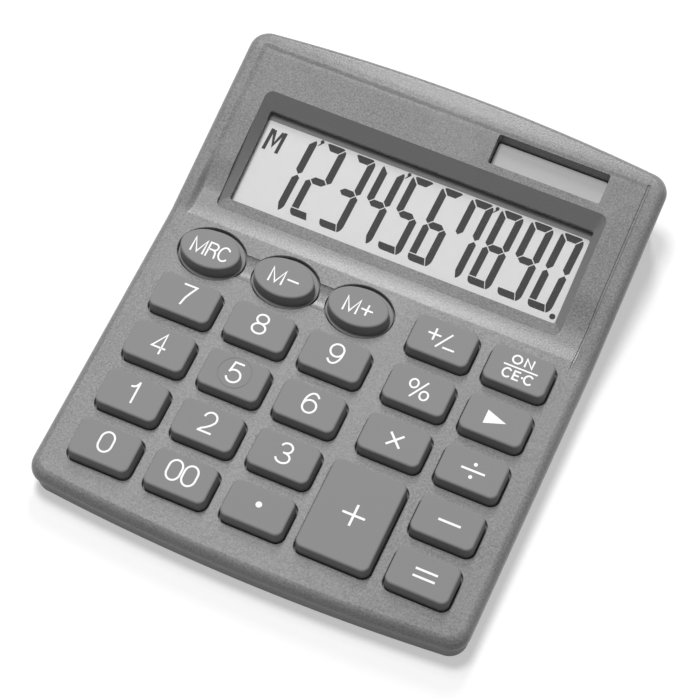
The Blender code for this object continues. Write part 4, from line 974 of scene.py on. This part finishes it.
class CALC_OT_display_segments(bpy.types.Operator):
    """Draw the digits, marks and memory letter of the display"""

    bl_idname = "calculator.display_segments"
    bl_label = "Display segments"

    def execute(self, context):
        d = display()
        levels = [-d.glass_depth - 0.01 * MM, -d.glass_depth + 0.03 * MM]
        self.make_mask()
        self.finish("display_digits", self.digits_and_marks(levels))
        self.finish("display_memory_letter", self.memory_letter(levels))
        return {"FINISHED"}

    def segment_shapes(self):
        """The outline of each segment in millimetres, from the lower left corner of an upright digit."""
        d = display()
        wide, high, thick = d.digit_width / MM, d.digit_height / MM, d.segment / MM
        half = high / 2
        tip = 0.12
        joint = wide - thick
        upper_left = [(0, high - 1.05), (0.12, high - 0.62), (0.3, high - 0.45), (thick, high - thick - 0.18)]
        upper_left += [(thick, half + thick / 2 + 0.25), (thick * 0.45, half + tip), (0, half + 0.75)]
        upper_right = [(wide, high - 1.9), (wide - 0.06, high - 1.35), (wide - 0.2, high - 0.9)]
        upper_right += [(wide - 0.38, high - 0.62), (wide - 0.62, high - 0.62)]
        upper_right += [(wide - x, y) for x, y in upper_left[3:]]
        bottom = [(0, thick), (0.02, thick - 0.4), (0.12, 0.95), (0.35, 0.48), (0.72, 0.14), (1.2, 0)]
        bottom += [(joint + 0.55, 0), (joint - 0.17, thick)]
        lower_left = [(0, half - 0.75), (thick * 0.45, half - tip), (thick, half - thick / 2 - 0.25)]
        lower_left += [(thick, thick + 0.25), (0, thick + 0.25)]
        lower_right = [(wide - x, y) for x, y in lower_left[:2]]
        lower_right += [(joint, half - thick / 2 - 0.25), (joint, thick + 0.1), (joint + 0.72, 0)]
        lower_right += [(joint + 0.85, 0.03), (wide - 0.5, 0.35), (wide - 0.2, 0.85)]
        lower_right += [(wide - 0.05, 1.35), (wide, 1.9)]
        top = [(thick + 0.18, high - thick), (0.72, high - 0.32), (0.88, high - 0.1), (1.25, high)]
        top += [(wide - x, y) for x, y in reversed(top)]
        middle = [(thick + 0.12, half + thick / 2), (thick * 0.45 + 0.2, half)]
        middle.append((thick + 0.12, half - thick / 2))
        middle += [(wide - x, y) for x, y in reversed(middle)]
        return dict(zip("abcdefg", (top, upper_right, lower_right, bottom, lower_left, upper_left, middle)))

    def digits_and_marks(self, levels):
        """The dark segments, the marks that part the thousands and the point."""
        d = display()
        shapes = self.segment_shapes()
        high = d.digit_height / MM
        bm = bmesh.new()
        for number, shown in enumerate(SHOWN_DIGITS):
            left = d.first_digit + number * d.digit_pitch - d.digit_width
            for segment in shown:
                outline = [(left + x * MM + d.lean * y / high, d.base + y * MM) for x, y in shapes[segment]]
                stack(bm, [[on_display(x, up, w) for x, up in outline] for w in levels])
        mark = arc(0, 0, 0.46, 0.46, -60, 200, 14)
        mark += [(-0.3, -0.5), (-0.75, -1.25), (-0.6, -1.3), (-0.05, -0.75)]
        for x, up in ((-27.1, 22.15), (-4.9, 22.15), (17.35, 21.95)):
            stack(bm, [[on_display((x + a) * MM, (up + b) * MM, w) for a, b in mark] for w in levels])
        dot = arc(38.95, 2.5, 0.7, 0.7, 0, 345, 23)
        stack(bm, [[on_display(a * MM, b * MM, w) for a, b in dot] for w in levels])
        return bm

    def memory_letter(self, levels):
        """The letter that shows a number is stored, leaning as the digits do."""
        d = display()
        middle_x, middle = -37.75, 18.2
        bm = bmesh.new()
        draw_glyph(bm, "display_M", middle_x, middle, 4.1, 5.8, 0.85, *levels)
        for vert in bm.verts:
            lean = d.lean * (vert.co.y - middle * MM) / d.digit_height
            vert.co = on_display(vert.co.x + lean, vert.co.y, vert.co.z)
        return bm

    def make_mask(self):
        """The grey border of the display, with an opening where its field is clear."""
        d, middle, reach = display(), casing().window_shift, 41.6 * MM
        border = block((middle - reach, -1.2 * MM, 0), (middle + reach, 25.2 * MM, 0.05 * MM))
        mask = mesh_object("display_mask", border)
        field = rounded_rectangle(81.6 * MM, 21.7 * MM, 0.8 * MM, (-0.65 * MM, 11.85 * MM))
        cut(mask, plate(field, -MM, MM))
        for vert in mask.data.vertices:
            vert.co = on_display(vert.co.x, vert.co.y, vert.co.z - d.glass_depth)
        place_on_case(mask)
        dress(mask, "mask_grey")

    def finish(self, name, bm):
        made = mesh_object(name, bm)
        place_on_case(made)
        dress(made, "display_segments")


class CALC_OT_stage(bpy.types.Operator):
    """Set up the floor, the lights and the camera"""

    bl_idname = "calculator.stage"
    bl_label = "Stage"

    def execute(self, context):
        s = context.scene.calculator_stage
        context.scene.view_settings.view_transform = "Standard"
        bm = bmesh.new()
        bmesh.ops.create_grid(bm, x_segments=1, y_segments=1, size=6)
        floor = mesh_object("floor", bm)
        material = bpy.data.materials.new("studio_floor")
        material.use_nodes = True
        floor.data.materials.append(material)
        nodes, links = material.node_tree.nodes, material.node_tree.links
        nodes.remove(nodes["Principled BSDF"])
        shaded = add_node(nodes, "BsdfDiffuse", Color=(1, 1, 1, 1))
        paper = add_node(nodes, "Emission")
        seen = add_node(nodes, "MixShader", Fac=s.paper_share)
        links.new(shaded.outputs[0], seen.inputs[1])
        links.new(paper.outputs[0], seen.inputs[2])
        bounced = add_node(nodes, "BsdfDiffuse", Color=(*grey(s.bounce), 1))
        target = nodes["Material Output"].inputs["Surface"]
        self.blend(nodes, links, bounced.outputs[0], seen.outputs[0], target)

        world = bpy.data.worlds.new("studio")
        world.use_nodes = True
        context.scene.world = world
        nodes, links = world.node_tree.nodes, world.node_tree.links
        ambient = nodes["Background"]
        ambient.inputs["Color"].default_value = (1, 1, 1, 1)
        ambient.inputs["Strength"].default_value = s.fill
        backdrop = add_node(nodes, "Background", Color=(1, 1, 1, 1), Strength=1)
        target = nodes["World Output"].inputs["Surface"]
        self.blend(nodes, links, ambient.outputs[0], backdrop.outputs[0], target)

        main = self.add_light("main_light", s.main_power, (0.32, 0.32), (-0.17, 0.12, 1.1))
        main.visible_glossy = False
        self.add_light("rear_light", s.rear_power, (0.2, 0.4), (-0.22, 0.75, 0.86))
        self.add_light("accent_light", s.accent_power, (0.22, 0.12), (-0.27, 0.33, 1))

        data = bpy.data.cameras.new("camera")
        data.lens = s.lens
        data.sensor_width = 36
        camera = bpy.data.objects.new("camera", data)
        camera.location = CAMERA_PLACE
        camera.rotation_euler = [radians(turn) for turn in CAMERA_TURNS]
        context.scene.collection.objects.link(camera)
        context.scene.camera = camera
        return {"FINISHED"}

    def add_light(self, name, power, size, place):
        """A soft light aimed at the calculator."""
        light = bpy.data.lights.new(name, "AREA")
        light.shape = "ELLIPSE"
        light.size, light.size_y = size
        light.energy = power
        lamp = bpy.data.objects.new(name, light)
        lamp.location = place
        lamp.rotation_euler = (-Vector(place)).to_track_quat("-Z", "Y").to_euler()
        bpy.context.scene.collection.objects.link(lamp)
        return lamp

    def blend(self, nodes, links, hidden, seen, target):
        """Show one shader to the camera and in reflections, and light the object with the other."""
        path = add_node(nodes, "LightPath")
        direct = path.outputs["Is Camera Ray"]
        for ray in ("Is Glossy Ray", "Is Transmission Ray"):
            either = add_node(nodes, "Math")
            either.operation = "MAXIMUM"
            links.new(direct, either.inputs[0])
            links.new(path.outputs[ray], either.inputs[1])
            direct = either.outputs[0]
        mixed = add_node(nodes, "MixShader")
        links.new(direct, mixed.inputs["Fac"])
        links.new(hidden, mixed.inputs[1])
        links.new(seen, mixed.inputs[2])
        links.new(mixed.outputs[0], target)


OPERATORS = (
    CALC_OT_finishes,
    CALC_OT_top_housing,
    CALC_OT_bottom_housing,
    CALC_OT_feet_and_screws,
    CALC_OT_keys,
    CALC_OT_display_segments,
    CALC_OT_stage,
)


class CALC_PT_pieces(bpy.types.Panel):
    """Lists the steps that build the calculator, with their sizes and colours"""

    bl_idname = "CALC_PT_pieces"
    bl_label = "Desktop calculator"
    bl_space_type = "VIEW_3D"
    bl_region_type = "UI"
    bl_category = "Calculator"

    def draw(self, context):
        for operator in OPERATORS:
            self.layout.operator(operator.bl_idname)
        for name, group in SETTINGS.items():
            column = self.layout.box().column()
            for setting in group.__annotations__:
                column.prop(getattr(context.scene, name), setting)


def register():
    for group in SETTINGS.values():
        bpy.utils.register_class(group)
    for name, group in SETTINGS.items():
        setattr(bpy.types.Scene, name, PointerProperty(type=group))
    for item in (*OPERATORS, CALC_PT_pieces):
        bpy.utils.register_class(item)


def unregister():
    for item in reversed((*OPERATORS, CALC_PT_pieces)):
        bpy.utils.unregister_class(item)
    for name in SETTINGS:
        delattr(bpy.types.Scene, name)
    for group in reversed(SETTINGS.values()):
        bpy.utils.unregister_class(group)


def main():
    register()
    bpy.ops.calculator.finishes()
    bpy.ops.calculator.top_housing()
    bpy.ops.calculator.bottom_housing()
    bpy.ops.calculator.feet_and_screws()
    bpy.ops.calculator.keys()
    bpy.ops.calculator.display_segments()
    bpy.ops.calculator.stage()
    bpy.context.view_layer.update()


if __name__ == "__main__":
    main()
